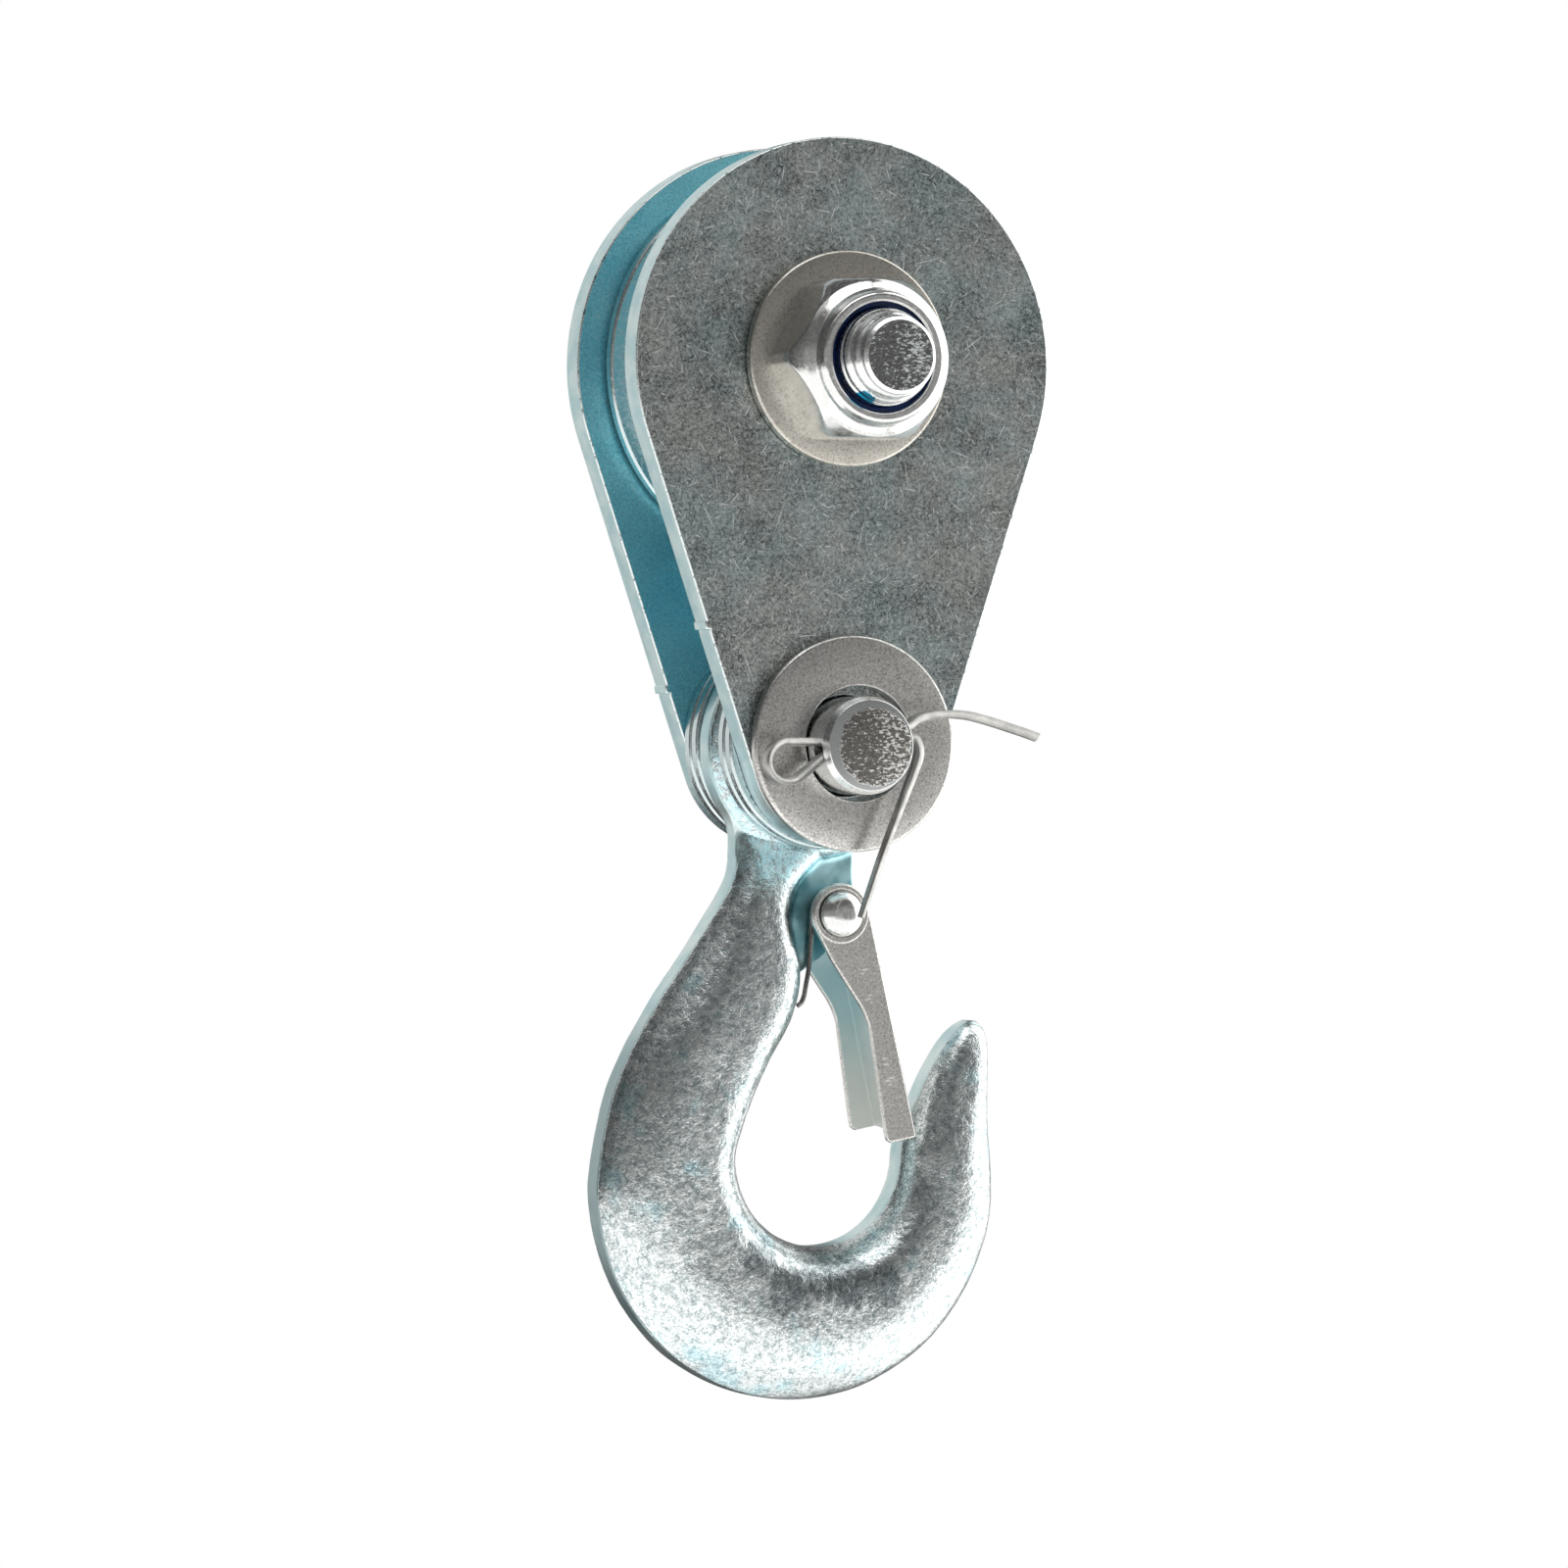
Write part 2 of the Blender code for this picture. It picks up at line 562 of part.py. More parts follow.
def build_hook(group, cutters, forged):
    sections = []
    for station in hook_stations():
        section = hook_section(station, FLANK_STEPS)
        sections.append([point * MM + Vector((0.0, 0.0, PIN_CENTRE[1])) for point in section])
    hook = loft("hook", sections, group)
    hook.data.materials.append(forged)
    eye = [
        (0.0, EYE_HALF),
        (EYE_RADIUS - 2.2 * MM, EYE_HALF),
        (EYE_RADIUS, EYE_RIM_HALF),
        (EYE_RADIUS, -EYE_RIM_HALF),
        (EYE_RADIUS - 2.2 * MM, -EYE_HALF),
        (0.0, -EYE_HALF),
    ]
    boolean(hook, "UNION", hide(turned("join_eye", eye, cutters, None, centre=PIN_CENTRE, closed=False)))
    lug = as_mesh(plate("join_lug", [lug_outline()], cutters, None, -LUG_HALF, LUG_HALF), cutters)
    boolean(hook, "UNION", hide(lug))
    reach = 2 * EYE_HALF
    boolean(hook, "DIFFERENCE", rod("cut_eye_bore", cutters, PIN_CENTRE, EYE_BORE_RADIUS, -reach, reach))
    rivet_hole = rod("cut_rivet_hole", cutters, RIVET, RIVET_RADIUS + GAP, -reach, reach, steps=16)
    boolean(hook, "DIFFERENCE", rivet_hole)


# ---------------------------------------------------------------- latch, rivet and spring

def latch_outline():
    """Side view of the latch: a round ear about the rivet, tapering to a straight arm."""
    ear = arc(RIVET, LATCH_EAR_RADIUS, 12.0, 200.0, 14)
    left = [(1.6, -122.6), (8.8, -133.0), (10.2, -136.4), (13.6, -158.6), (14.6, -160.4)]
    right = [(20.0, -159.3), (20.3, -158.4)]
    return ear + [(x * MM, z * MM) for x, z in left + right]


def build_latch(group, cutters, zinc, steel):
    outline = latch_outline()
    latch = as_mesh(plate("latch", [outline], group, None, -LATCH_HALF_WIDTH, LATCH_HALF_WIDTH), group)
    latch.data.materials.append(zinc)
    # The channel's hollow reaches everywhere except the web on the outer side, below the ears.
    web_top = Vector((RIVET[0] + LATCH_EAR_RADIUS, RIVET[1]))
    web_foot = Vector(outline[-1])
    along = (web_foot - web_top).normalized()
    inward = Vector((along.y, -along.x))
    upper = web_top + along * ((LATCH_WEB_TOP - web_top.y) / along.y)
    beyond = 12.0 * MM
    hollow = [
        tuple(web_foot + inward * LATCH_SHEET + along * beyond),
        tuple(upper + inward * LATCH_SHEET),
        tuple(upper - inward * beyond),
        (RIVET[0] + 2 * beyond, RIVET[1] + beyond),
        (RIVET[0] - 2 * beyond, RIVET[1] + beyond),
        (RIVET[0] - 2 * beyond, web_foot.y - beyond),
    ]
    half = LATCH_HALF_WIDTH - LATCH_SHEET
    boolean(latch, "DIFFERENCE", hide(as_mesh(plate("cut_channel", [hollow], cutters, None, -half, half), cutters)))
    reach = 2 * LATCH_HALF_WIDTH
    boolean(latch, "DIFFERENCE", rod("cut_ears", cutters, RIVET, RIVET_RADIUS + GAP, -reach, reach, steps=16))

    face = LATCH_HALF_WIDTH + GAP
    profile = [
        (0.0, face + 1.4 * MM),
        (RIVET_HEAD_RADIUS * 0.7, face + 1.2 * MM),
        (RIVET_HEAD_RADIUS * 0.85, face + 0.5 * MM),
        (RIVET_HEAD_RADIUS * 0.85, face),
        (RIVET_RADIUS, face),
        (RIVET_RADIUS, -face),
        (RIVET_HEAD_RADIUS, -face),
        (RIVET_HEAD_RADIUS * 0.95, -face - 0.4 * RIVET_HEAD_HEIGHT),
        (RIVET_HEAD_RADIUS * 0.6, -face - 0.85 * RIVET_HEAD_HEIGHT),
        (0.0, -face - RIVET_HEAD_HEIGHT),
    ]
    turned("latch_rivet", profile, group, zinc, centre=RIVET, steps=24, closed=False)

    pitch = 2 * SPRING_WIRE_RADIUS + GAP
    first_y = -(LUG_HALF + GAP + SPRING_WIRE_RADIUS)
    turns = []
    steps = int(round(SPRING_TURNS * 14))
    for i in range(steps + 1):
        turn = SPRING_TURNS * i / steps
        angle = math.radians(180.0) + turn * 2 * math.pi
        turns.append((RIVET[0] + SPRING_COIL_RADIUS * math.cos(angle), first_y - pitch * turn,
                      RIVET[1] + SPRING_COIL_RADIUS * math.sin(angle)))
    hook_leg = [(-3.3, -131.2), (-2.2, -128.6), (-1.5, -124.0), (-1.0, -118.0)]
    hook_leg_route = [(x * MM, first_y, z * MM) for x, z in hook_leg]
    last_y = turns[-1][1]
    latch_leg = [(7.9, -116.9), (9.4, -123.0), (11.2, -131.0)]
    latch_leg_route = [(x * MM, last_y, z * MM) for x, z in latch_leg]
    wire("latch_spring", hook_leg_route + turns + latch_leg_route, SPRING_WIRE_RADIUS, group, steel)


# ---------------------------------------------------------------- whole object

def main():
    for leftover in list(bpy.data.objects):
        bpy.data.objects.remove(leftover)
    group = new_collection("hook_block")
    cutters = new_collection("cutters")
    zinc = metal("zinc_plate", (0.36, 0.38, 0.39), 0.42)
    bright = metal("bright_zinc", (0.72, 0.73, 0.74), 0.22)
    plated = metal("washer_zinc", (0.52, 0.51, 0.49), 0.45)
    forged = metal("forged_zinc", (0.50, 0.53, 0.54), 0.36)
    steel = metal("plain_steel", (0.45, 0.45, 0.44), 0.38)
    bronze = metal("bronze", (0.55, 0.36, 0.17), 0.35)
    nylon = metal("nylon", (0.01, 0.04, 0.16), 0.4, 0.0)
    build_cheeks(group, zinc)
    build_axle(group, cutters, bright, nylon, bronze, plated)
    build_sheave(group, bright)
    build_hook_pin(group, cutters, bright, steel, plated)
    build_hook(group, cutters, forged)
    build_latch(group, cutters, plated, steel)


main()
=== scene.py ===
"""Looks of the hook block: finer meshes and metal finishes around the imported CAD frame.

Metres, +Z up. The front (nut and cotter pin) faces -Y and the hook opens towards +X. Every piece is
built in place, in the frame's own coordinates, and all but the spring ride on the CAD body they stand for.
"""
import json
import math

import bmesh
import bpy
import numpy as np
from mathutils import Matrix, Vector, noise


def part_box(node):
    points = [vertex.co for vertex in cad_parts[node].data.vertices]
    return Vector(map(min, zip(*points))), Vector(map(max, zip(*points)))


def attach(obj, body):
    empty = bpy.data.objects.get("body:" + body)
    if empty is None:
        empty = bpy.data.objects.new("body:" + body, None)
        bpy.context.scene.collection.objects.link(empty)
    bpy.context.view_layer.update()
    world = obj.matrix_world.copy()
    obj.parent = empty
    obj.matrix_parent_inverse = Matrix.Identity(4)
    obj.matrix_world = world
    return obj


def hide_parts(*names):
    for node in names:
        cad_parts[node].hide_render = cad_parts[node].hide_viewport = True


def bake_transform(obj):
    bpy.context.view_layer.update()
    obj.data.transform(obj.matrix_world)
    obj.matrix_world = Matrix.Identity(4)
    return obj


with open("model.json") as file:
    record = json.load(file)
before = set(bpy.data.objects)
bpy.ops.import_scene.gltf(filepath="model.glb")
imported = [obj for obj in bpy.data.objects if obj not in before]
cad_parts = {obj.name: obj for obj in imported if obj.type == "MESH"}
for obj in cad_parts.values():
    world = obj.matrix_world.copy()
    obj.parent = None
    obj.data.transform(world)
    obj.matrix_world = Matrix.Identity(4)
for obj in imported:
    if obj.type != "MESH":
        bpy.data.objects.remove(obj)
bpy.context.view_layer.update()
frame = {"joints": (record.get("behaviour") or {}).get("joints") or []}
MM = 0.001
FRONT = -1.0
REAR = 1.0


def joint_place(name):
    """The (x, z) of a joint's axis. Every joint here turns about an axle along Y."""
    place = next(joint["pos_m"] for joint in frame["joints"] if joint["name"] == name)
    return np.array((place[0], place[2]))


AXLE = joint_place("sheave_spin")
PIN = joint_place("hook_swing")
RIVET = joint_place("latch_open")


def span(node, axis):
    """The lowest and highest coordinate of a CAD node along one axis (0, 1 or 2)."""
    low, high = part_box(node)
    return low[axis], high[axis]


def radius_of(node):
    """Half the width of a round CAD node."""
    low, high = span(node, 0)
    return (high - low) / 2


# ================================================================ mesh helpers

def placed(name, data):
    """A new object in the scene."""
    piece = bpy.data.objects.new(name, data)
    bpy.context.scene.collection.objects.link(piece)
    return piece


def baked(piece):
    """The mesh of an object with its modifiers applied and no materials. The object is removed."""
    bpy.context.view_layer.update()
    mesh = bpy.data.meshes.new_from_object(piece.evaluated_get(bpy.context.evaluated_depsgraph_get()))
    bpy.data.objects.remove(piece)
    mesh.materials.clear()
    return mesh


def mesh_of(shape, name):
    """Turns a bmesh into a mesh, and frees it."""
    mesh = bpy.data.meshes.new(name)
    shape.to_mesh(mesh)
    shape.free()
    return mesh


FILLET_STEPS = 5
SUPPORT = 0.12 * MM                 # flat strip kept beside each fillet, for clean shading


def fillet(corners, closed):
    """Rounds a path of (a, b, radius) corners. A radius of 0 keeps the corner sharp."""
    points = []
    count = len(corners)
    for i, (a, b, radius) in enumerate(corners):
        here = np.array((a, b))
        if radius == 0 or (not closed and i in (0, count - 1)):
            points.append(here)
            continue
        back = np.array(corners[i - 1][:2]) - here
        ahead = np.array(corners[(i + 1) % count][:2]) - here
        back_length = np.linalg.norm(back)
        ahead_length = np.linalg.norm(ahead)
        back = back / back_length
        ahead = ahead / ahead_length
        half = math.acos(max(-1.0, min(1.0, float(back @ ahead)))) / 2
        reach = min(radius / math.tan(half), 0.44 * back_length, 0.44 * ahead_length)
        centre = here + (back + ahead) / np.linalg.norm(back + ahead) * reach / math.cos(half)
        strip = min(SUPPORT, 0.05 * back_length, 0.05 * ahead_length)
        start = here + back * reach - centre
        end = here + ahead * reach - centre
        sweep = math.atan2(start[0] * end[1] - start[1] * end[0], float(start @ end))
        points.append(here + back * (reach + strip))
        for step in range(FILLET_STEPS + 1):
            turn = sweep * step / FILLET_STEPS
            cos, sin = math.cos(turn), math.sin(turn)
            points.append(centre + (start[0] * cos - start[1] * sin, start[0] * sin + start[1] * cos))
        points.append(here + ahead * (reach + strip))
    return np.array(points)


def new_piece(name, verts, faces, finish, body, *nodes, slot, smooth_angle=40.0):
    """A closed mesh piece that stands for CAD nodes, with its finish and the body it rides on."""
    mesh = bpy.data.meshes.new(name)
    mesh.from_pydata([tuple(map(float, vert)) for vert in verts], [], faces)
    return finished(name, mesh, finish, body, *nodes, slot=slot, smooth_angle=smooth_angle)


def finished(name, mesh, finish, body, *nodes, slot, smooth_angle=40.0):
    """Welds a mesh, turns its faces outward, shades it and puts it in the scene.

    A piece with no body is left unattached.
    """
    shape = bmesh.new()
    shape.from_mesh(mesh)
    bmesh.ops.remove_doubles(shape, verts=shape.verts, dist=1e-7)
    bmesh.ops.dissolve_degenerate(shape, dist=1e-8, edges=shape.edges)
    bmesh.ops.recalc_face_normals(shape, faces=shape.faces)
    shape.to_mesh(mesh)
    shape.free()
    mesh.shade_smooth()
    mesh.set_sharp_from_angle(angle=math.radians(smooth_angle))
    piece = placed(name, mesh)
    for material in finish if isinstance(finish, (list, tuple)) else (finish,):
        mesh.materials.append(material)
    if body:
        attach(piece, body)
    if nodes:
        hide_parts(*nodes)
    return piece


def grid_faces(rows, columns, close_rows, close_columns):
    """Quads over a grid of points, numbered row by row."""
    faces = []
    for i in range(rows if close_rows else rows - 1):
        for j in range(columns if close_columns else columns - 1):
            k = (i + 1) % rows
            m = (j + 1) % columns
            faces.append((i * columns + j, i * columns + m, k * columns + m, k * columns + j))
    return faces


def turned_mesh(corners, centre, closed=True, angles=144, reshape=None):
    """Points and faces of a profile of (radius, y, fillet) corners turned about an axle along Y."""
    profile = fillet(corners, closed)
    if isinstance(angles, int):
        angles = np.arange(angles) * 2 * math.pi / angles
    verts = []
    for angle in angles:
        cos, sin = math.cos(angle), math.sin(angle)
        for radius, along in profile:
            if reshape:
                radius = reshape(angle, radius, along)
            verts.append((centre[0] + radius * cos, along, centre[1] + radius * sin))
    return verts, grid_faces(len(angles), len(profile), True, closed)


def turned(name, corners, finish, body, *nodes, slot, centre=AXLE, closed=True, angles=144, reshape=None,
           smooth_angle=40.0):
    verts, faces = turned_mesh(corners, centre, closed, angles, reshape)
    return new_piece(name, verts, faces, finish, body, *nodes, slot=slot, smooth_angle=smooth_angle)


def ring_corners(outer, bore, low, high, edge, bore_edge):
    """The profile of a plain ring: its corners' (radius, y, fillet)."""
    return [(outer, low, edge), (outer, high, edge), (bore, high, bore_edge), (bore, low, bore_edge)]


def curve_through(points, per_span):
    """A Catmull-Rom curve through points with any number of values each."""
    points = np.array(points, float)
    ends = np.vstack((2 * points[0] - points[1], points, 2 * points[-1] - points[-2]))
    out = []
    for i in range(1, len(ends) - 2):
        a, b, c, d = ends[i - 1:i + 3]
        for step in range(per_span):
            t = step / per_span
            out.append(0.5 * (2 * b + (c - a) * t + (2 * a - 5 * b + 4 * c - d) * t ** 2
                              + (3 * b - a - 3 * c + d) * t ** 3))
    out.append(points[-1])
    return np.array(out)


def swept(name, route, section, finish, body, *nodes, slot, smooth_angle=40.0, sizes=None):
    """A section of (across, along the side) offsets carried down a route. The side starts along Y.

    `sizes` scales the section at each place on the route.
    """
    sizes = np.ones(len(route)) if sizes is None else sizes
    route = np.array(route, float)
    tangents = np.gradient(route, axis=0)
    tangents /= np.linalg.norm(tangents, axis=1)[:, None]
    side = np.array((0.0, 1.0, 0.0))
    verts = []
    for place, tangent, size in zip(route, tangents, sizes):
        side = side - tangent * (side @ tangent)
        side /= np.linalg.norm(side)
        across = np.cross(side, tangent)
        verts += [place + across * (a * size) + side * (b * size) for a, b in section]
    faces = capped_faces(len(route), len(section))
    return new_piece(name, verts, faces, finish, body, *nodes, slot=slot, smooth_angle=smooth_angle)


def capped_faces(rows, columns):
    """Faces of a tube of closed rows of points, with a cap on each end."""
    caps = [tuple(range(columns)), tuple((rows - 1) * columns + i for i in range(columns))]
    return grid_faces(rows, columns, False, True) + caps


def arc(centre, radius, start, end, steps):
    """Points (x, z) on a circle, from the start angle to the end angle in degrees."""
    angles = np.radians(np.linspace(start, end, steps + 1))
    return [(centre[0] + radius * math.cos(a), centre[1] + radius * math.sin(a)) for a in angles]


def plate_mesh(outlines, y_low, y_high, edge):
    """A flat plate with rounded edges between two Y planes. The inner outlines are holes."""
    curve = bpy.data.curves.new("plate", "CURVE")
    curve.dimensions = "2D"
    curve.fill_mode = "BOTH"
    curve.extrude = (y_high - y_low) / 2 - edge
    curve.bevel_depth = edge
    curve.bevel_resolution = 2
    curve.offset = -edge
    for outline in outlines:
        spline = curve.splines.new("POLY")
        spline.points.add(len(outline) - 1)
        for point, (x, z) in zip(spline.points, outline):
            point.co = (x, z, 0.0, 1.0)
        spline.use_cyclic_u = True
    mesh = baked(placed("plate", curve))
    middle = Matrix.Translation((0.0, (y_low + y_high) / 2, 0.0))
    mesh.transform(middle @ Matrix.Rotation(math.pi / 2, 4, "X"))
    return mesh


def weigh_normals(piece):
    """Keeps flat faces flat where they meet narrow rounded edges."""
    modifier = piece.modifiers.new("flat faces", "WEIGHTED_NORMAL")
    modifier.keep_sharp = True
    modifier.weight = 90


# ================================================================ materials

class Nodes:
    """Adds linked nodes to one shader tree."""

    def __init__(self, tree):
        self.nodes = tree.nodes
        self.links = tree.links

    def put(self, socket, value):
        """Links an output to a socket, or sets a plain number or colour on it."""
        if isinstance(value, bpy.types.NodeSocket):
            self.links.new(value, socket)
        else:
            socket.default_value = value

    def add(self, kind, inputs, **settings):
        """A new node. Its inputs are given by label or by number."""
        node = self.nodes.new("ShaderNode" + kind)
        for setting, value in settings.items():
            setattr(node, setting, value)
        for label, value in inputs.items():
            self.put(node.inputs[label], value)
        return node

    def math(self, operation, a, b=0.0, c=0.0):
        return self.add("Math", {0: a, 1: b, 2: c}, operation=operation).outputs[0]

    def times(self, a, b):
        return self.math("MULTIPLY", a, b)

    def scaled(self, a, factor, shift):
        return self.math("MULTIPLY_ADD", a, factor, shift)

    def larger(self, a, b):
        return self.math("MAXIMUM", a, b)

    def vector(self, operation, a, b, output="Vector"):
        return self.add("VectorMath", {0: a, 1: b}, operation=operation).outputs[output]

    def span(self, value, low=0.3, high=0.7, to_low=0.0, to_high=1.0):
        """Maps low..high to to_low..to_high, clamped, with soft ends."""
        inputs = {"Value": value, "From Min": low, "From Max": high, "To Min": to_low, "To Max": to_high}
        return self.add("MapRange", inputs, interpolation_type="SMOOTHSTEP").outputs["Result"]


class Finish(Nodes):
    """A metal or plastic finish, built from small steps on one Principled surface."""

    def __init__(self, name, roughness, metallic=1.0):
        self.material = bpy.data.materials.new(name)
        self.material.use_nodes = True
        super().__init__(self.material.node_tree)
        self.surface = self.nodes["Principled BSDF"]
        self.surface.inputs["Metallic"].default_value = metallic
        self.surface.inputs["Roughness"].default_value = roughness
        self.place = self.add("TexCoord", {}).outputs["Object"]
        self.normal = None

    def noise(self, size, detail=2.0, roughness=0.5, distortion=0.0, stretch=(1.0, 1.0, 1.0), shift=0.0):
        """Cloudy noise from 0 to 1 whose features are about `size` metres across."""
        mapping = self.add("Mapping", {"Scale": stretch, "Location": (shift,) * 3, "Vector": self.place})
        inputs = {"Vector": mapping.outputs["Vector"], "Scale": 1.0 / size, "Detail": detail,
                  "Roughness": roughness, "Distortion": distortion}
        return self.add("TexNoise", inputs).outputs["Fac"]

    def mix(self, share, a, b):
        """A blend of two colours, a where share is 0 and b where it is 1."""
        node = self.add("Mix", {}, data_type="RGBA")
        sockets = [socket for socket in node.inputs if socket.enabled]
        self.put(sockets[0], share)
        self.put(sockets[1], (*a, 1.0) if isinstance(a, tuple) else a)
        self.put(sockets[2], (*b, 1.0) if isinstance(b, tuple) else b)
        return next(socket for socket in node.outputs if socket.enabled)

    def axis(self, vector, index):
        return self.add("SeparateXYZ", {"Vector": vector}).outputs[index]

    def distance(self, place):
        """Distance, seen along Y, from an (X, Z) place."""
        flat = self.vector("MULTIPLY", self.place, (1.0, 0.0, 1.0))
        return self.vector("DISTANCE", flat, (place[0], 0.0, place[1]), "Value")

    def strokes(self, lines):
        """Thin, nearly level light strokes: each has its middle (X, Z), half length and slope."""
        across = self.axis(self.place, 0)
        up = self.axis(self.place, 2)
        found = None
        for x, z, half_length, slope in lines:
            beside = self.math("SUBTRACT", across, x)
            level = self.scaled(beside, -slope, self.math("SUBTRACT", up, z))
            half_width = self.span(self.math("ABSOLUTE", beside), 0.0, half_length, 0.21 * MM, -0.06 * MM)
            outside = self.math("SUBTRACT", self.math("ABSOLUTE", level), half_width)
            line = self.span(outside, -0.06 * MM, 0.06 * MM, 1.0, 0.0)
            found = line if found is None else self.larger(found, line)
        return found

    def scratches(self, cell, length, width):
        """Straight fine strokes on a face square to Y, one in each cell, at random angles."""
        face = self.add("VectorRotate", {"Angle": math.pi / 2, "Vector": self.place}, rotation_type="X_AXIS")
        face = face.outputs["Vector"]
        cells = self.add("TexVoronoi", {"Scale": 1.0 / cell, "Vector": face}, voronoi_dimensions="2D")
        away = self.vector("SUBTRACT", face, cells.outputs["Position"])
        chance = self.add("SeparateColor", {"Color": cells.outputs["Color"]}).outputs
        angle = self.times(chance["Red"], math.pi)
        spun = self.add("VectorRotate", {"Vector": away, "Angle": angle}, rotation_type="Z_AXIS")
        reach = self.math("ABSOLUTE", self.axis(spun.outputs["Vector"], 0))
        off = self.math("ABSOLUTE", self.axis(spun.outputs["Vector"], 1))
        half = self.scaled(chance["Green"], length * 0.8, length * 0.2)
        share = self.math("DIVIDE", reach, half)
        fall = self.scaled(self.times(share, share), -1.0, 1.0)
        inside = self.larger(fall, 0.0)
        line = self.span(off, width * 0.3, width, 1.0, 0.0)
        strength = self.span(chance["Blue"], 0.15, 1.0)
        return self.times(self.times(inside, line), strength)

    def bump(self, height, depth):
        """Raises the surface by height (0 to 1) times depth metres, on top of any earlier bump."""
        node = self.add("Bump", {"Strength": 1.0, "Distance": depth, "Height": height})
        if self.normal is not None:
            self.links.new(self.normal, node.inputs["Normal"])
        self.normal = node.outputs["Normal"]
        self.put(self.surface.inputs["Normal"], self.normal)

    def colour(self, value):
        self.put(self.surface.inputs["Base Color"], value)

    def rough(self, value):
        self.put(self.surface.inputs["Roughness"], value)


def rolled_zinc(name, dark, light, cool_dark, cool_light, scratch=1.0, metallic=1.0):
    """Zinc plate on rolled sheet: dark and light specks, soft clouds and straight light scratches."""
    finish = Finish(name, 0.4, metallic)
    grain = finish.noise(0.62 * MM, 3.0, 0.75)
    speck = finish.noise(0.5 * MM, 1.0, 0.5, shift=0.31)
    cloud = finish.noise(9 * MM, 4.0, 0.65, shift=0.17)
    fine_grain = finish.span(finish.noise(0.26 * MM, 0.0))
    tone = finish.span(cloud, 0.3, 0.7, -0.02, 0.2)
    tone = finish.scaled(finish.span(grain, 0.36, 0.66), 0.45, tone)
    tone = finish.scaled(fine_grain, 0.32, tone)
    fine = finish.scratches(3.8 * MM, 2.2 * MM, 0.13 * MM)
    long = finish.scratches(9.0 * MM, 5.0 * MM, 0.13 * MM)
    short = finish.scratches(1.9 * MM, 0.9 * MM, 0.14 * MM)
    marks = finish.larger(finish.larger(fine, long), short)
    bright = finish.times(finish.span(speck, 0.66, 0.76), 0.6)
    marks = finish.larger(finish.times(marks, scratch), bright)
    tint = finish.span(finish.noise(16 * MM, 3.0, 0.6, shift=0.7), 0.35, 0.65)
    colour = finish.mix(tint, finish.mix(tone, dark, light), finish.mix(tone, cool_dark, cool_light))
    finish.colour(finish.mix(marks, colour, (0.90, 0.93, 0.93)))
    finish.rough(finish.span(grain, 0.3, 0.7, 0.42, 0.3))
    finish.bump(grain, 0.030 * MM)
    return finish.material


def sheared_zinc(name, base, light):
    """Zinc plate on a cut edge: smooth, with small chips along it."""
    finish = Finish(name, 0.42)
    grain = finish.noise(0.5 * MM, 2.0, 0.6)
    cloud = finish.noise(5 * MM, 2.0, 0.5)
    chips = finish.times(finish.span(finish.noise(0.9 * MM, 2.0, 0.7, shift=0.4), 0.66, 0.74), 0.5)
    colour = finish.mix(finish.span(cloud), base, light)
    finish.colour(finish.mix(chips, colour, (0.25, 0.32, 0.34)))
    finish.rough(finish.span(grain, 0.3, 0.7, 0.3, 0.45))
    finish.bump(grain, 0.012 * MM)
    finish.bump(cloud, 0.06 * MM)
    return finish.material


def worn_rim(name, dark, light):
    """The narrow rounded border between a sheet's face and its cut edge: bright, broken by dark nicks."""
    finish = Finish(name, 0.3)
    nick = finish.noise(1.1 * MM, 3.0, 0.7)
    grain = finish.noise(0.3 * MM, 1.0)
    finish.colour(finish.mix(finish.span(nick, 0.34, 0.46), dark, light))
    finish.rough(finish.span(grain, 0.3, 0.7, 0.2, 0.36))
    finish.bump(nick, 0.04 * MM)
    return finish.material


def tumbled_zinc(name, dark, light, grit=0.55, rough=(0.34, 0.26), strokes=()):
    """Zinc plate on a tumbled stamping: an even sandy grain, with groups of light strokes at `strokes`."""
    finish = Finish(name, 0.36)
    grain = finish.span(finish.noise(0.42 * MM, 3.0, 0.9), 0.36, 0.64)
    pit = finish.span(finish.noise(0.5 * MM, 2.0, 0.6, shift=0.9), 0.34, 0.5)
    cloud = finish.noise(9 * MM, 2.0, 0.5)
    tone = finish.scaled(grain, grit, finish.span(cloud, 0.3, 0.7, 0.0, 0.15))
    tone = finish.scaled(pit, 0.3, tone)
    tone = finish.math("ADD", tone, 0.28 - 0.5 * grit)
    colour = finish.mix(tone, dark, light)
    if strokes:
        marks = finish.times(finish.strokes(strokes), 0.9)
        colour = finish.mix(marks, colour, (1.0, 1.0, 0.98))
    finish.colour(colour)
    finish.rough(finish.span(cloud, 0.3, 0.7, rough[0], rough[1]))
    return finish.material


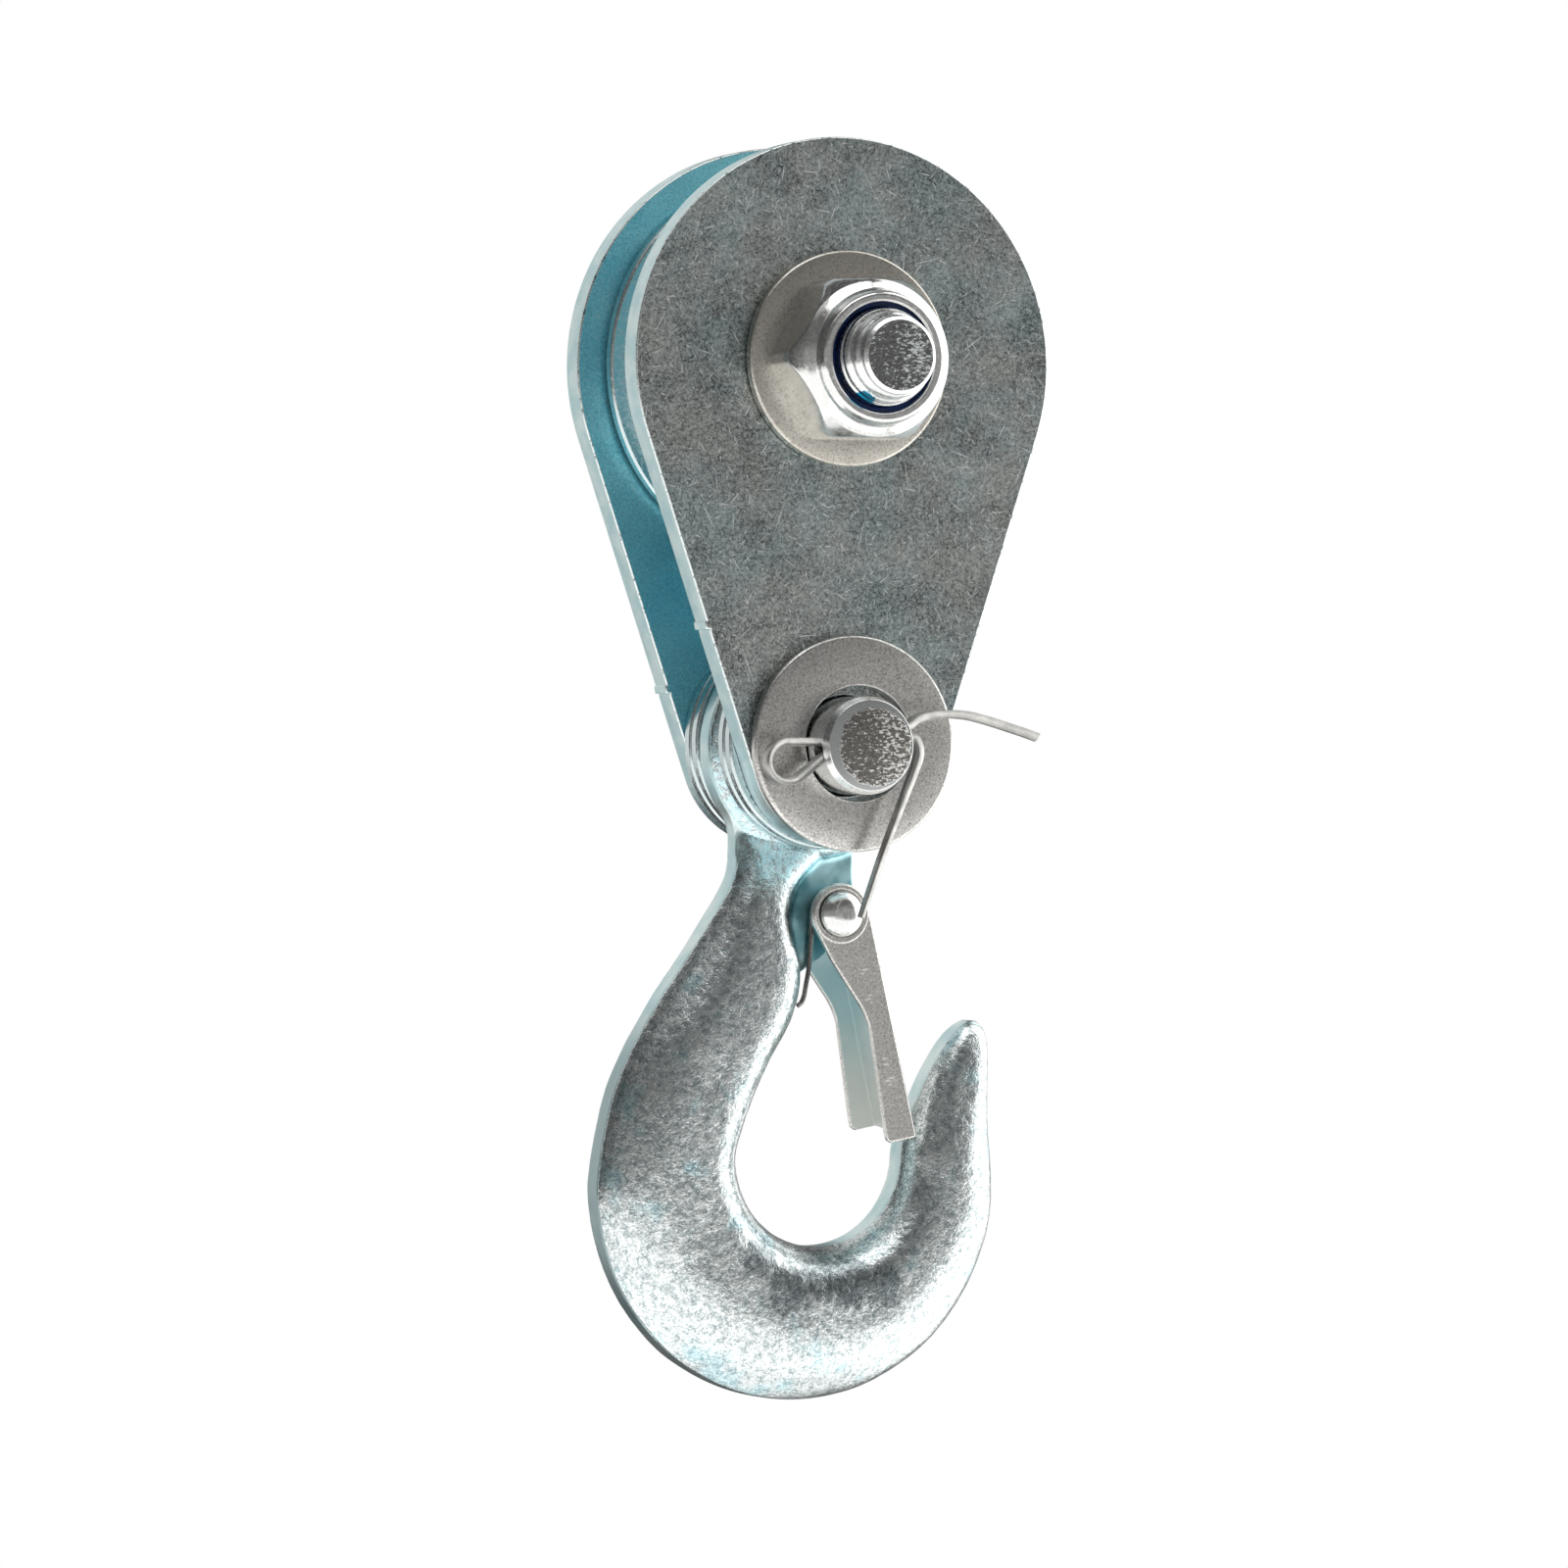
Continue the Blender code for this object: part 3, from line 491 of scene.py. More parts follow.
def bright_zinc(name, colour, rough=0.14, ripple=0.05 * MM, smear=False):
    """Bright zinc plate on machined steel: nearly a mirror, with faint ripples and hairline marks.

    With `smear`, it has the dab of blue left on the axle's thread by the nylon of the nut.
    """
    finish = Finish(name, rough)
    wave = finish.noise(4.5 * MM, 2.0, 0.5, 0.4)
    haze = finish.noise(0.7 * MM, 3.0, 0.6)
    shade = tuple(0.8 * part for part in colour)
    tone = finish.mix(finish.span(haze, 0.4, 0.75), shade, colour)
    if smear:
        dab = (AXLE[0] - 5.2 * MM, -40.6 * MM, AXLE[1] - 8.8 * MM)
        apart = finish.vector("DISTANCE", finish.place, dab, "Value")
        reach = finish.scaled(haze, 2.4 * MM, apart)
        tone = finish.mix(finish.span(reach, 3.3 * MM, 3.7 * MM, 1.0, 0.0), tone, (0.01, 0.20, 0.34))
    finish.colour(tone)
    finish.rough(finish.span(haze, 0.3, 0.75, rough * 0.7, rough * 1.6))
    finish.bump(wave, ripple)
    finish.bump(haze, 0.006 * MM)
    return finish.material


def cropped_end(name, dark, light, centre, torn_from, torn_radius, worn_from):
    """The end face of a cropped bar: a smooth crescent, then a dark torn zone with small bright flecks.

    The torn zone is a ragged circle of `torn_radius` about the bar's centre moved by `torn_from`. The
    flecks are closer together beyond `worn_from` towards +X.
    """
    finish = Finish(name, 0.3)
    rag = finish.noise(1.7 * MM, 3.0, 0.65)
    grain = finish.noise(0.55 * MM, 2.0, 0.7, distortion=0.4, stretch=(0.55, 1.0, 1.3))
    fine = finish.noise(0.26 * MM, 0.0)
    ragged = finish.scaled(rag, 2.6 * MM, finish.distance(centre + np.array(torn_from)))
    torn = finish.span(ragged, torn_radius + 1.1 * MM, torn_radius + 1.5 * MM, 1.0, 0.0)
    edge = finish.times(torn, finish.span(ragged, torn_radius, torn_radius + 1.2 * MM))
    worn_x = centre[0] + worn_from
    worn = finish.span(finish.axis(finish.place, 0), worn_x - 3 * MM, worn_x + 4 * MM)
    crowd = finish.larger(finish.times(worn, 0.10), finish.times(edge, 0.08))
    fleck = finish.span(finish.math("ADD", grain, crowd), 0.58, 0.68)
    fleck = finish.times(fleck, torn)
    base = finish.mix(torn, (0.55, 0.58, 0.59), dark)
    base = finish.mix(finish.times(finish.span(fine, 0.35, 0.65), 0.25), base, (0.5, 0.5, 0.48))
    finish.colour(finish.mix(fleck, base, light))
    finish.rough(finish.scaled(torn, 0.14, 0.22))
    finish.bump(finish.times(rag, torn), 0.05 * MM)
    finish.bump(finish.times(grain, torn), 0.03 * MM)
    return finish.material


# Spots under the bowl of the hook, painted dark as a dark reflection: (X, Z, radius) in millimetres.
PAINTED_DARK_SPOTS = ((-10.0, -189.5, 5.5), (-2.0, -187.0, 5.5), (4.5, -188.5, 5.5), (12.0, -189.5, 4.5),
                (-16.0, -183.0, 4.0))


def forged_zinc(name):
    """Zinc plate over a forged skin: mottled flecks, soft hollows, a smooth tinted parting band, and painted
    dark reflection and shade.
    """
    finish = Finish(name, 0.2)
    coarse = finish.noise(1.5 * MM, 3.0, 0.7, 0.3)
    grain = finish.noise(0.5 * MM, 3.0, 0.8, shift=0.2)
    patch = finish.noise(10 * MM, 3.0, 0.55, shift=0.6)
    tone = finish.times(finish.span(coarse, 0.36, 0.62), 0.45)
    tone = finish.scaled(finish.span(grain, 0.39, 0.63), 0.55, tone)
    skin = finish.mix(tone, (0.27, 0.33, 0.35), (0.95, 1.0, 1.0))
    tinted = finish.mix(tone, (0.24, 0.41, 0.46), (0.70, 0.93, 0.98))
    skin = finish.mix(finish.span(patch, 0.56, 0.72, 0.0, 0.8), skin, tinted)
    height = finish.axis(finish.place, 2)
    neck = finish.span(height, PIN[1] - 34 * MM, PIN[1] - 24 * MM, 0.0, 1.0)
    neck = finish.times(neck, finish.span(coarse, 0.38, 0.6))
    skin = finish.mix(finish.times(neck, 0.8), skin, (0.50, 0.76, 0.82))
    # Painted dark reflection: the skin is darkened in spots under the bowl, and the roughness stays as it is.
    painted_dark = None
    for x, z, radius in PAINTED_DARK_SPOTS:
        apart = finish.distance((x * MM, z * MM))
        apart = finish.scaled(coarse, 5.0 * MM, apart)
        patch_here = finish.span(apart, (radius + 1.0) * MM, (radius + 3.4) * MM, 1.0, 0.0)
        painted_dark = patch_here if painted_dark is None else finish.larger(painted_dark, patch_here)
    painted_dark_skin = finish.mix(tone, (0.10, 0.12, 0.13), (0.42, 0.48, 0.50))
    skin = finish.mix(finish.times(painted_dark, 0.8), skin, painted_dark_skin)
    depth = finish.math("ABSOLUTE", finish.axis(finish.place, 1))
    ragged = finish.scaled(coarse, -0.7 * MM, depth)
    band = finish.span(ragged, 2.3 * MM, 2.6 * MM, 1.0, 0.0)
    band_tone = finish.mix(finish.span(patch, 0.35, 0.65), (0.42, 0.60, 0.63), (0.62, 0.74, 0.74))
    # Painted shade: the band is darkened on the back of the hook, towards -X.
    back = finish.span(finish.axis(finish.place, 0), PIN[0] - 44 * MM, PIN[0] - 32 * MM, 1.0, 0.0)
    band_tone = finish.mix(finish.times(back, 0.8), band_tone, (0.22, 0.31, 0.33))
    # Painted shade: in the recess about the latch lug the band turns a patchy teal, darker in places.
    lug = finish.span(finish.distance(RIVET + np.array((-2 * MM, 2 * MM))), 7 * MM, 17 * MM, 1.0, 0.0)
    pale = finish.span(finish.noise(7 * MM, 2.0, 0.5, shift=0.4), 0.40, 0.62)
    band_tone = finish.mix(lug, band_tone, finish.mix(pale, (0.15, 0.40, 0.46), (0.46, 0.76, 0.82)))
    finish.colour(finish.mix(band, skin, band_tone))
    skin_rough = finish.span(grain, 0.3, 0.7, 0.30, 0.20)
    finish.rough(finish.larger(skin_rough, finish.times(band, 0.34)))
    calm = finish.scaled(band, -0.85, 1.0)
    finish.bump(patch, 0.2 * MM)
    finish.bump(finish.times(coarse, calm), 0.16 * MM)
    finish.bump(finish.times(grain, calm), 0.03 * MM)
    return finish.material


def painted_latch_inside(name):
    """Painted light on the latch's inside: near-white zinc, pale blue-green near the rivet, fading to cream
    at the end.
    """
    finish = Finish(name, 0.4, metallic=0.15)
    cloud = finish.noise(6 * MM, 2.0, 0.5)
    grain = finish.noise(0.5 * MM, 2.0, 0.6)
    fade = finish.span(finish.axis(finish.place, 2), WEB_FADE[0], WEB_FADE[1])
    fade = finish.math("ADD", fade, finish.span(cloud, 0.3, 0.7, -0.12, 0.12))
    colour = finish.mix(fade, (1.0, 1.0, 0.95), (0.62, 0.84, 0.87))
    finish.colour(finish.mix(finish.span(grain, 0.3, 0.7, 0.0, 0.2), colour, (0.7, 0.8, 0.8)))
    finish.rough(finish.span(cloud, 0.3, 0.7, 0.28, 0.4))
    return finish.material


def drawn_wire(name, dark, light, rough=0.36):
    """Dull drawn wire with fine marks."""
    finish = Finish(name, rough)
    grain = finish.noise(0.4 * MM, 2.0, 0.6)
    cloud = finish.noise(3 * MM, 2.0, 0.5)
    finish.colour(finish.mix(finish.span(cloud), dark, light))
    finish.rough(finish.span(grain, 0.3, 0.7, rough * 0.8, rough * 1.25))
    finish.bump(grain, 0.012 * MM)
    return finish.material


def nylon(name):
    """Dark blue nylon with a soft sheen and a fine moulded grain."""
    finish = Finish(name, 0.35, metallic=0.0)
    finish.surface.inputs["Specular IOR Level"].default_value = 0.25
    cloud = finish.noise(2 * MM, 2.0, 0.5)
    finish.colour(finish.mix(finish.span(cloud), (0.0, 0.010, 0.06), (0.001, 0.020, 0.11)))
    finish.rough(finish.span(cloud, 0.3, 0.7, 0.35, 0.5))
    finish.bump(cloud, 0.03 * MM)
    return finish.material


def bronze(name):
    """Oiled bearing bronze with turning marks."""
    finish = Finish(name, 0.32)
    rings = finish.noise(0.6 * MM, 2.0, 0.5, stretch=(0.2, 3.0, 0.2))
    cloud = finish.noise(4 * MM, 2.0, 0.5)
    finish.colour(finish.mix(finish.span(cloud), (0.42, 0.24, 0.10), (0.66, 0.42, 0.19)))
    finish.rough(finish.span(rings, 0.3, 0.7, 0.25, 0.42))
    finish.bump(rings, 0.02 * MM)
    return finish.material


WEB_FADE = (RIVET[1] - 42 * MM, RIVET[1] - 14 * MM)
CHEEK_FACE = rolled_zinc("cheek_face_zinc", (0.038, 0.042, 0.042), (0.66, 0.70, 0.685),
                         (0.035, 0.052, 0.056), (0.60, 0.71, 0.72))
# Painted bounce light: the plates' inner faces get a lighter, bluer, less metallic copy of the cheek zinc. It
# stands in for the teal light passed between the two plates.
CHEEK_INSIDE_PAINTED_BOUNCE = rolled_zinc("cheek_inside_zinc", (0.20, 0.55, 0.65), (0.42, 0.92, 1.0), (0.14, 0.48, 0.60),
                           (0.34, 0.86, 1.0), 0.3, metallic=0.75)
CHEEK_EDGE = sheared_zinc("cheek_edge_zinc", (0.44, 0.62, 0.65), (0.60, 0.73, 0.74))
CHEEK_RIM = worn_rim("cheek_rim_zinc", (0.20, 0.24, 0.25), (0.72, 0.78, 0.78))
AXLE_WASHER = tumbled_zinc("axle_washer_zinc", (0.22, 0.205, 0.17), (0.74, 0.72, 0.67), 0.25, (0.30, 0.24))
PIN_WASHER = tumbled_zinc("pin_washer_zinc", (0.20, 0.20, 0.19), (0.82, 0.81, 0.79))
NUT = bright_zinc("nut_zinc", (0.84, 0.85, 0.845), 0.15)
BOLT = bright_zinc("bolt_zinc", (0.92, 0.94, 0.94), 0.2, 0.08 * MM, smear=True)
BOLT_END = cropped_end("bolt_end_zinc", (0.11, 0.115, 0.12), (0.82, 0.88, 0.88), AXLE, (0.0, 0.0), 9.0 * MM,
                       -0.5 * MM)
PIN_END = cropped_end("pin_end_zinc", (0.14, 0.135, 0.125), (0.92, 0.92, 0.90), PIN, (0.9 * MM, -0.4 * MM),
                      7.9 * MM, 1.0 * MM)
SHEAVE = bright_zinc("sheave_zinc", (0.66, 0.76, 0.78), 0.2, 0.08 * MM)
FORGED = forged_zinc("hook_forged_zinc")
LATCH_STROKES = [(x * MM, z * MM, half_length * MM, slope) for x, z, half_length, slope in (
    (8.9, -124.5, 1.5, 0.18), (8.3, -125.3, 0.8, 0.10),
    (10.1, -129.8, 1.0, 0.24), (9.6, -130.6, 1.5, 0.14), (10.4, -131.3, 0.7, 0.20),
    (13.3, -142.9, 1.1, 0.12), (13.7, -144.1, 1.2, 0.04),
    (15.0, -146.9, 1.1, 0.20), (14.0, -147.5, 1.0, 0.10), (14.5, -148.3, 0.6, 0.30),
)]
LATCH_FACE = tumbled_zinc("latch_zinc", (0.26, 0.26, 0.25), (0.86, 0.855, 0.83), strokes=LATCH_STROKES)
# Painted light: the latch's inside is a lighter, hardly metallic copy of its zinc.
LATCH_INSIDE_PAINTED_LIGHT = painted_latch_inside("latch_lining_zinc")
COTTER = drawn_wire("cotter_steel", (0.44, 0.44, 0.43), (0.58, 0.58, 0.56), 0.42)
SPRING = drawn_wire("spring_steel", (0.16, 0.15, 0.15), (0.34, 0.31, 0.30), 0.28)
NYLON = nylon("nut_nylon")
BRONZE = bronze("bearing_bronze")


# ================================================================ cheek plates

CHEEK_TOP_RADIUS = (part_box("cheek_front")[1][0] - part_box("cheek_front")[0][0]) / 2
CHEEK_FOOT_RADIUS = PIN[1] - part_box("cheek_front")[0][2]
CHEEK_EDGE_RADIUS = 0.35 * MM
NUB_LENGTH = 2.4 * MM
NUB_HEIGHT = 0.6 * MM
NUB_SHAPE = ((-0.5, 0.0), (-0.42, 0.5), (-0.3, 0.8), (0.05, 0.95), (0.2, 1.0), (0.27, 0.2), (0.33, -0.25),
             (0.5, 0.0))            # shares of the nub's length and height
NUB_ALONG_EDGE = {"cheek_front": 0.56, "cheek_rear": 0.74}
HOLE_RADIUS = 10.3 * MM


def cheek_outline(nub_share):
    """A large arc at the top and a small one at the foot, joined by straight edges, one with a shear nub."""
    drop = AXLE[1] - PIN[1]
    lean = math.degrees(math.asin((CHEEK_TOP_RADIUS - CHEEK_FOOT_RADIUS) / drop))
    top = arc(AXLE, CHEEK_TOP_RADIUS, -lean, 180.0 + lean, 150)
    foot = arc(PIN, CHEEK_FOOT_RADIUS, 180.0 + lean, 360.0 - lean, 70)
    start = np.array(top[-1])
    edge = np.array(foot[0]) - start
    along = edge / np.linalg.norm(edge)
    outward = np.array((along[1], -along[0]))
    nub = [tuple(start + edge * nub_share + along * (shift * NUB_LENGTH) + outward * (height * NUB_HEIGHT))
           for shift, height in NUB_SHAPE]
    return top + nub + foot


def build_cheeks():
    holes = [arc(AXLE, HOLE_RADIUS, 0.0, 357.0, 119), arc(PIN, HOLE_RADIUS, 0.0, 357.0, 119)]
    for node, side in (("cheek_front", FRONT), ("cheek_rear", REAR)):
        low, high = span(node, 1)
        mesh = plate_mesh([cheek_outline(NUB_ALONG_EDGE[node]), *holes], low, high, CHEEK_EDGE_RADIUS)
        finishes = [CHEEK_FACE, CHEEK_INSIDE_PAINTED_BOUNCE, CHEEK_EDGE, CHEEK_RIM]
        piece = finished(node + "_plate", mesh, finishes, "frame", node, slot="dark_zinc")
        for face in piece.data.polygons:
            outward = face.normal.y * side
            if outward > 0.97:
                face.material_index = 0
            # Inner faces: the copy with painted bounce light.
            elif outward < -0.97:
                face.material_index = 1
            elif abs(outward) < 0.1:
                face.material_index = 2
            else:
                face.material_index = 3
        weigh_normals(piece)


# ================================================================ axle

HEX_HALF_FLATS = 16.1 * MM
HEX_CORNER = 17.95 * MM
BOLT_RADIUS = 10.0 * MM
THREAD_PITCH = 2.5 * MM
THREAD_DEPTH = 0.32 * MM


def hex_angles(per_side):
    """Angles round a hexagon, closer together near its corners."""
    share = np.arange(per_side) / per_side
    eased = share - 0.11 * np.sin(share * 2 * math.pi)
    return np.concatenate([(side + eased) * math.pi / 3 for side in range(6)])


def hex_radius(angle):
    """Radius of a hexagon with flats at the top and bottom and slightly rounded corners."""
    flat = HEX_HALF_FLATS / math.cos((angle % (math.pi / 3)) - math.pi / 6)
    soft = 0.25 * MM
    over = max(0.0, flat - HEX_CORNER + soft)
    return flat - over * over / (4 * soft) if over < 2 * soft else HEX_CORNER


def hexed(angle, radius, _along):
    """Cuts a turned radius down to the hexagon."""
    return min(radius, hex_radius(angle))


def chamfer_rows(y_from, y_to, narrow, steps):
    """Rows of a cone that turns down a hexagon's corners, from full corners to its flats."""
    wide = HEX_CORNER + 0.05 * MM
    rows = []
    for step in range(steps + 1):
        share = step / steps
        rows.append((wide + (narrow - wide) * share ** 1.15, y_from + (y_to - y_from) * share, 0.0))
    return rows


def build_nut():
    low, high = span("axle_nut", 1)
    bore = BOLT_RADIUS + 0.3 * MM
    hex_front = high - 12.8 * MM
    wide = HEX_CORNER + 0.1 * MM
    seat = 0.9 * MM                     # how far the nut is bedded into the dished washer
    corners = [
        (bore, high + seat, 0.0),
        (wide, high + seat, 0.0),
        *chamfer_rows(hex_front + 4.3 * MM, hex_front + 0.4 * MM, 15.9 * MM, 20),
        (15.2 * MM, hex_front - 0.1 * MM, 0.4 * MM),
        (14.0 * MM, hex_front - 0.9 * MM, 0.9 * MM),
        (13.65 * MM, low + 2.6 * MM, 0.6 * MM),
        (13.0 * MM, low + 1.2 * MM, 0.8 * MM),
        (11.3 * MM, low + 1.25 * MM, 0.5 * MM),
        (11.1 * MM, low + 2.4 * MM, 0.2 * MM),
        (12.05 * MM, low + 2.7 * MM, 0.1 * MM),
        (12.05 * MM, low + 4.4 * MM, 0.0),
        (bore, low + 4.6 * MM, 0.0),
    ]
    turned("lock_nut", corners, NUT, "frame", "axle_nut", slot="bright_zinc", angles=hex_angles(40),
           reshape=hexed, smooth_angle=32.0)
    ring_low, ring_high = span("nut_nylon_insert", 1)
    ring_low = max(ring_low, low + 2.7 * MM)
    ring = [
        (radius_of("nut_nylon_insert") - 0.1 * MM, ring_low, 0.1 * MM),
        (radius_of("nut_nylon_insert") - 0.1 * MM, ring_high, 0.0),
        (BOLT_RADIUS + 0.05 * MM, ring_high, 0.0),
        (BOLT_RADIUS + 0.05 * MM, ring_low + 0.3 * MM, 0.5 * MM),
    ]
    turned("nylon_ring", ring, NYLON, "frame", "nut_nylon_insert", slot="nylon")


def thread(angle, radius, along):
    """Lowers a shank's radius into a rounded helical thread."""
    phase = along / THREAD_PITCH + angle / (2 * math.pi)
    valley = 0.5 - 0.5 * math.cos(2 * math.pi * phase)
    return radius - THREAD_DEPTH * valley ** 1.5


def build_bolt():
    low, high = span("axle_bolt", 1)
    head_low = high - 12.6 * MM
    head = [
        (0.0, head_low - 0.2 * MM, 0.0),
        (HEX_CORNER + 0.1 * MM, head_low - 0.2 * MM, 0.0),
        *chamfer_rows(high - 2.2 * MM, high, HEX_HALF_FLATS * 0.95, 12),
        (0.0, high, 0.0),
    ]
    turned("bolt_head", head, NUT, "frame", slot="bright_zinc", closed=False, angles=hex_angles(40),
           reshape=hexed, smooth_angle=32.0)
    face_radius = 7.1 * MM
    taper = 2.0 * MM                    # how far the thread has been turned down at the tip
    taper_length = 6.0 * MM
    rows = 90
    thread_from = -26.0 * MM
    thread_to = low + 1.5 * MM
    shank = [(0.0, head_low + 3.0 * MM, 0.0), (BOLT_RADIUS, head_low + 3.0 * MM, 0.0),
             (BOLT_RADIUS, thread_from + 0.5 * MM, 0.0)]
    shank += [(BOLT_RADIUS, thread_from + (thread_to - thread_from) * i / rows, 0.0) for i in range(rows + 1)]
    shank += [
        (BOLT_RADIUS - taper, low + 1.3 * MM, 0.0),
        (BOLT_RADIUS - taper - 0.1 * MM, low + 0.6 * MM, 0.3 * MM),
        (face_radius + 0.05 * MM, low + 0.1 * MM, 0.1 * MM),
        (face_radius, low + 0.1 * MM, 0.0),
        (0.0, low + 0.1 * MM, 0.0),
    ]

    def shape(angle, radius, along):
        if not (thread_to <= along <= thread_from and radius > 9 * MM):
            return radius
        near_tip = max(0.0, 1 - (along - thread_to) / taper_length)
        return thread(angle, radius, along) - taper * near_tip ** 1.3

    piece = turned("axle_shank", shank, [BOLT, BOLT_END], "frame", "axle_bolt", slot="bright_zinc",
                   closed=False, reshape=shape)
    for face in piece.data.polygons:
        centre = face.center
        if centre.y < low + 0.2 * MM and (centre.x ** 2 + centre.z ** 2) ** 0.5 < face_radius:
            face.material_index = 1


def washer(name, node, body, finish, bore, edge=0.65 * MM, roll=0.0, shift=(0.0, 0.0), off_centre=0.0):
    """A stamped washer: well rounded on the rim, less at the bore, with its front rolled back by `roll`.

    It lies `shift` away from its axis, and its bore is punched `off_centre` towards +X.
    """
    low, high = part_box(node)
    centre = np.array(((low[0] + high[0]) / 2, (low[2] + high[2]) / 2)) + np.array(shift)
    outer = (high[0] - low[0]) / 2
    bore_edge = 0.35 * MM
    front = [(bore, low[1], bore_edge)]
    for share in np.arange(1, 8) / 8:
        front.append((bore + (outer - bore) * share, low[1] + roll * share ** 2.4, 0.0))
    corners = [*front, (outer, low[1] + roll, edge), (outer, high[1], edge), (bore, high[1], bore_edge)]
    fade = 0.5 * (outer - bore)

    def shape(angle, radius, _along):
        near_bore = max(0.0, 1 - (radius - bore) / fade)
        return radius + off_centre * math.cos(angle) * near_bore

    turned(name, corners, finish, body, node, slot="washer_zinc", centre=centre, angles=180, reshape=shape)


AXLE_WASHER_BORE = 10.9 * MM
PIN_WASHER_BORE = 11.8 * MM
EYE_WASHERS = [f"eye_washer_{side}_{place}" for side, place in (
    ("front", "outer"), ("front", "inner"), ("rear", "inner"), ("rear", "outer"))]


def build_washers():
    washer("axle_washer_near", "axle_washer_front", "frame", AXLE_WASHER, AXLE_WASHER_BORE, roll=0.75 * MM)
    washer("axle_washer_far", "axle_washer_rear", "frame", AXLE_WASHER, AXLE_WASHER_BORE)
    washer("cotter_washer", "pin_washer", "loose_washer", PIN_WASHER, PIN_WASHER_BORE, roll=0.6 * MM,
           shift=(0.8 * MM, 0.4 * MM), off_centre=0.75 * MM)
    for node in EYE_WASHERS:
        washer(node + "_ring", node, "eye_washers", SHEAVE, PIN_WASHER_BORE, edge=0.9 * MM)


def bearing_ring(name, node, body, finish, slot, bore, edge, bore_edge):
    """A plain ring as long and as wide as its CAD node."""
    corners = ring_corners(radius_of(node), bore, *span(node, 1), edge, bore_edge)
    turned(name, corners, finish, body, node, slot=slot)


def build_bearing():
    bush_bore = radius_of("axle_sleeve") + 0.3 * MM
    bearing_ring("spacer_sleeve", "axle_sleeve", "frame", AXLE_WASHER, "washer_zinc", BOLT_RADIUS + 0.3 * MM,
                 0.4 * MM, 0.2 * MM)
    bearing_ring("bearing_bush", "sheave_bush", "sheave", BRONZE, "bronze", bush_bore, 0.4 * MM, 0.4 * MM)
    for node in ("thrust_washer_front", "thrust_washer_rear"):
        bearing_ring(node + "_ring", node, "thrust_washers", BRONZE, "bronze", bush_bore, 0.3 * MM, 0.2 * MM)


# ================================================================ sheave

GROOVE_RADIUS = 5.3 * MM
GROOVE_ROOT = 27.0 * MM
GROOVE_SLOPE = math.radians(17.0)


def build_sheave():
    rim = radius_of("sheave")
    half = span("sheave", 1)[1]
    hub_half = 10.5 * MM
    web_half = 9.2 * MM
    bore = radius_of("sheave_bush") + 0.02 * MM
    seat = GROOVE_ROOT + GROOVE_RADIUS
    land = rim - 0.9 * MM
    foot = seat - GROOVE_RADIUS * math.sin(GROOVE_SLOPE)
    foot_y = GROOVE_RADIUS * math.cos(GROOVE_SLOPE)
    mouth_y = foot_y + (land - foot) * math.tan(GROOVE_SLOPE)
    rear = [
        (bore, hub_half, 0.3 * MM),
        (21.6 * MM, hub_half, 0.4 * MM),
        (22.6 * MM, web_half, 0.5 * MM),
        (32.0 * MM, web_half, 0.8 * MM),
        (34.2 * MM, half, 0.8 * MM),
        (rim, half, 1.0 * MM),
        (rim, mouth_y, 0.7 * MM),
    ]
    groove = []
    for step in range(25):
        angle = GROOVE_SLOPE + (math.pi - 2 * GROOVE_SLOPE) * step / 24
        groove.append((seat - GROOVE_RADIUS * math.sin(angle), GROOVE_RADIUS * math.cos(angle), 0.0))
    front = [(radius, -along, edge) for radius, along, edge in reversed(rear)]
    turned("rope_sheave", rear + groove + front, SHEAVE, "sheave", "sheave", slot="sheave_zinc", angles=200)


# ================================================================ hook pin and cotter

COTTER_HALF_WIDTH = 1.85 * MM
COTTER_THICKNESS = 1.75 * MM
COTTER_Y = (span("cotter_pin", 1)[0] + span("cotter_pin", 1)[1]) / 2
COTTER_HOLE_TILT = math.radians(10.0)
COTTER_HOLE_LIFT = 0.6              # millimetres above the pin's centre


def build_pin():
    low, high = span("hook_pin", 1)
    radius = 10.0 * MM
    head = radius_of("hook_pin")
    head_low = high - 5.0 * MM
    chamfer = 0.7 * MM
    corners = [
        (0.0, high, 0.0),
        (head, high, 1.0 * MM),
        (head, head_low, 0.3 * MM),
        (radius, head_low, 0.0),
        (radius, low + 1.9 * MM, 0.6 * MM),
        (radius - chamfer, low + 0.1 * MM, 0.4 * MM),
        (radius - chamfer - 0.3 * MM, low + 0.05 * MM, 0.0),
        (0.0, low + 0.05 * MM, 0.0),
    ]
    piece = turned("clevis_pin", corners, [BOLT, PIN_END], "pin", "hook_pin", slot="bright_zinc", centre=PIN,
                   closed=False, angles=180)
    for face in piece.data.polygons:
        offset = np.array((face.center.x, face.center.z)) - PIN
        if face.center.y < low + 0.1 * MM and np.linalg.norm(offset) < radius - chamfer:
            face.material_index = 1
    drill = bmesh.new()
    place = Matrix.Translation((PIN[0], COTTER_Y, PIN[1] + COTTER_HOLE_LIFT * MM))
    turn = Matrix.Rotation(math.pi / 2 - COTTER_HOLE_TILT, 4, "Y")
    bmesh.ops.create_cone(drill, cap_ends=True, segments=40, radius1=2.25 * MM, radius2=2.25 * MM,
                          depth=4 * radius, matrix=place @ turn)
    cut_out(piece, placed("drill", mesh_of(drill, "drill")))
    piece.data.shade_smooth()
    piece.data.set_sharp_from_angle(angle=math.radians(32.0))


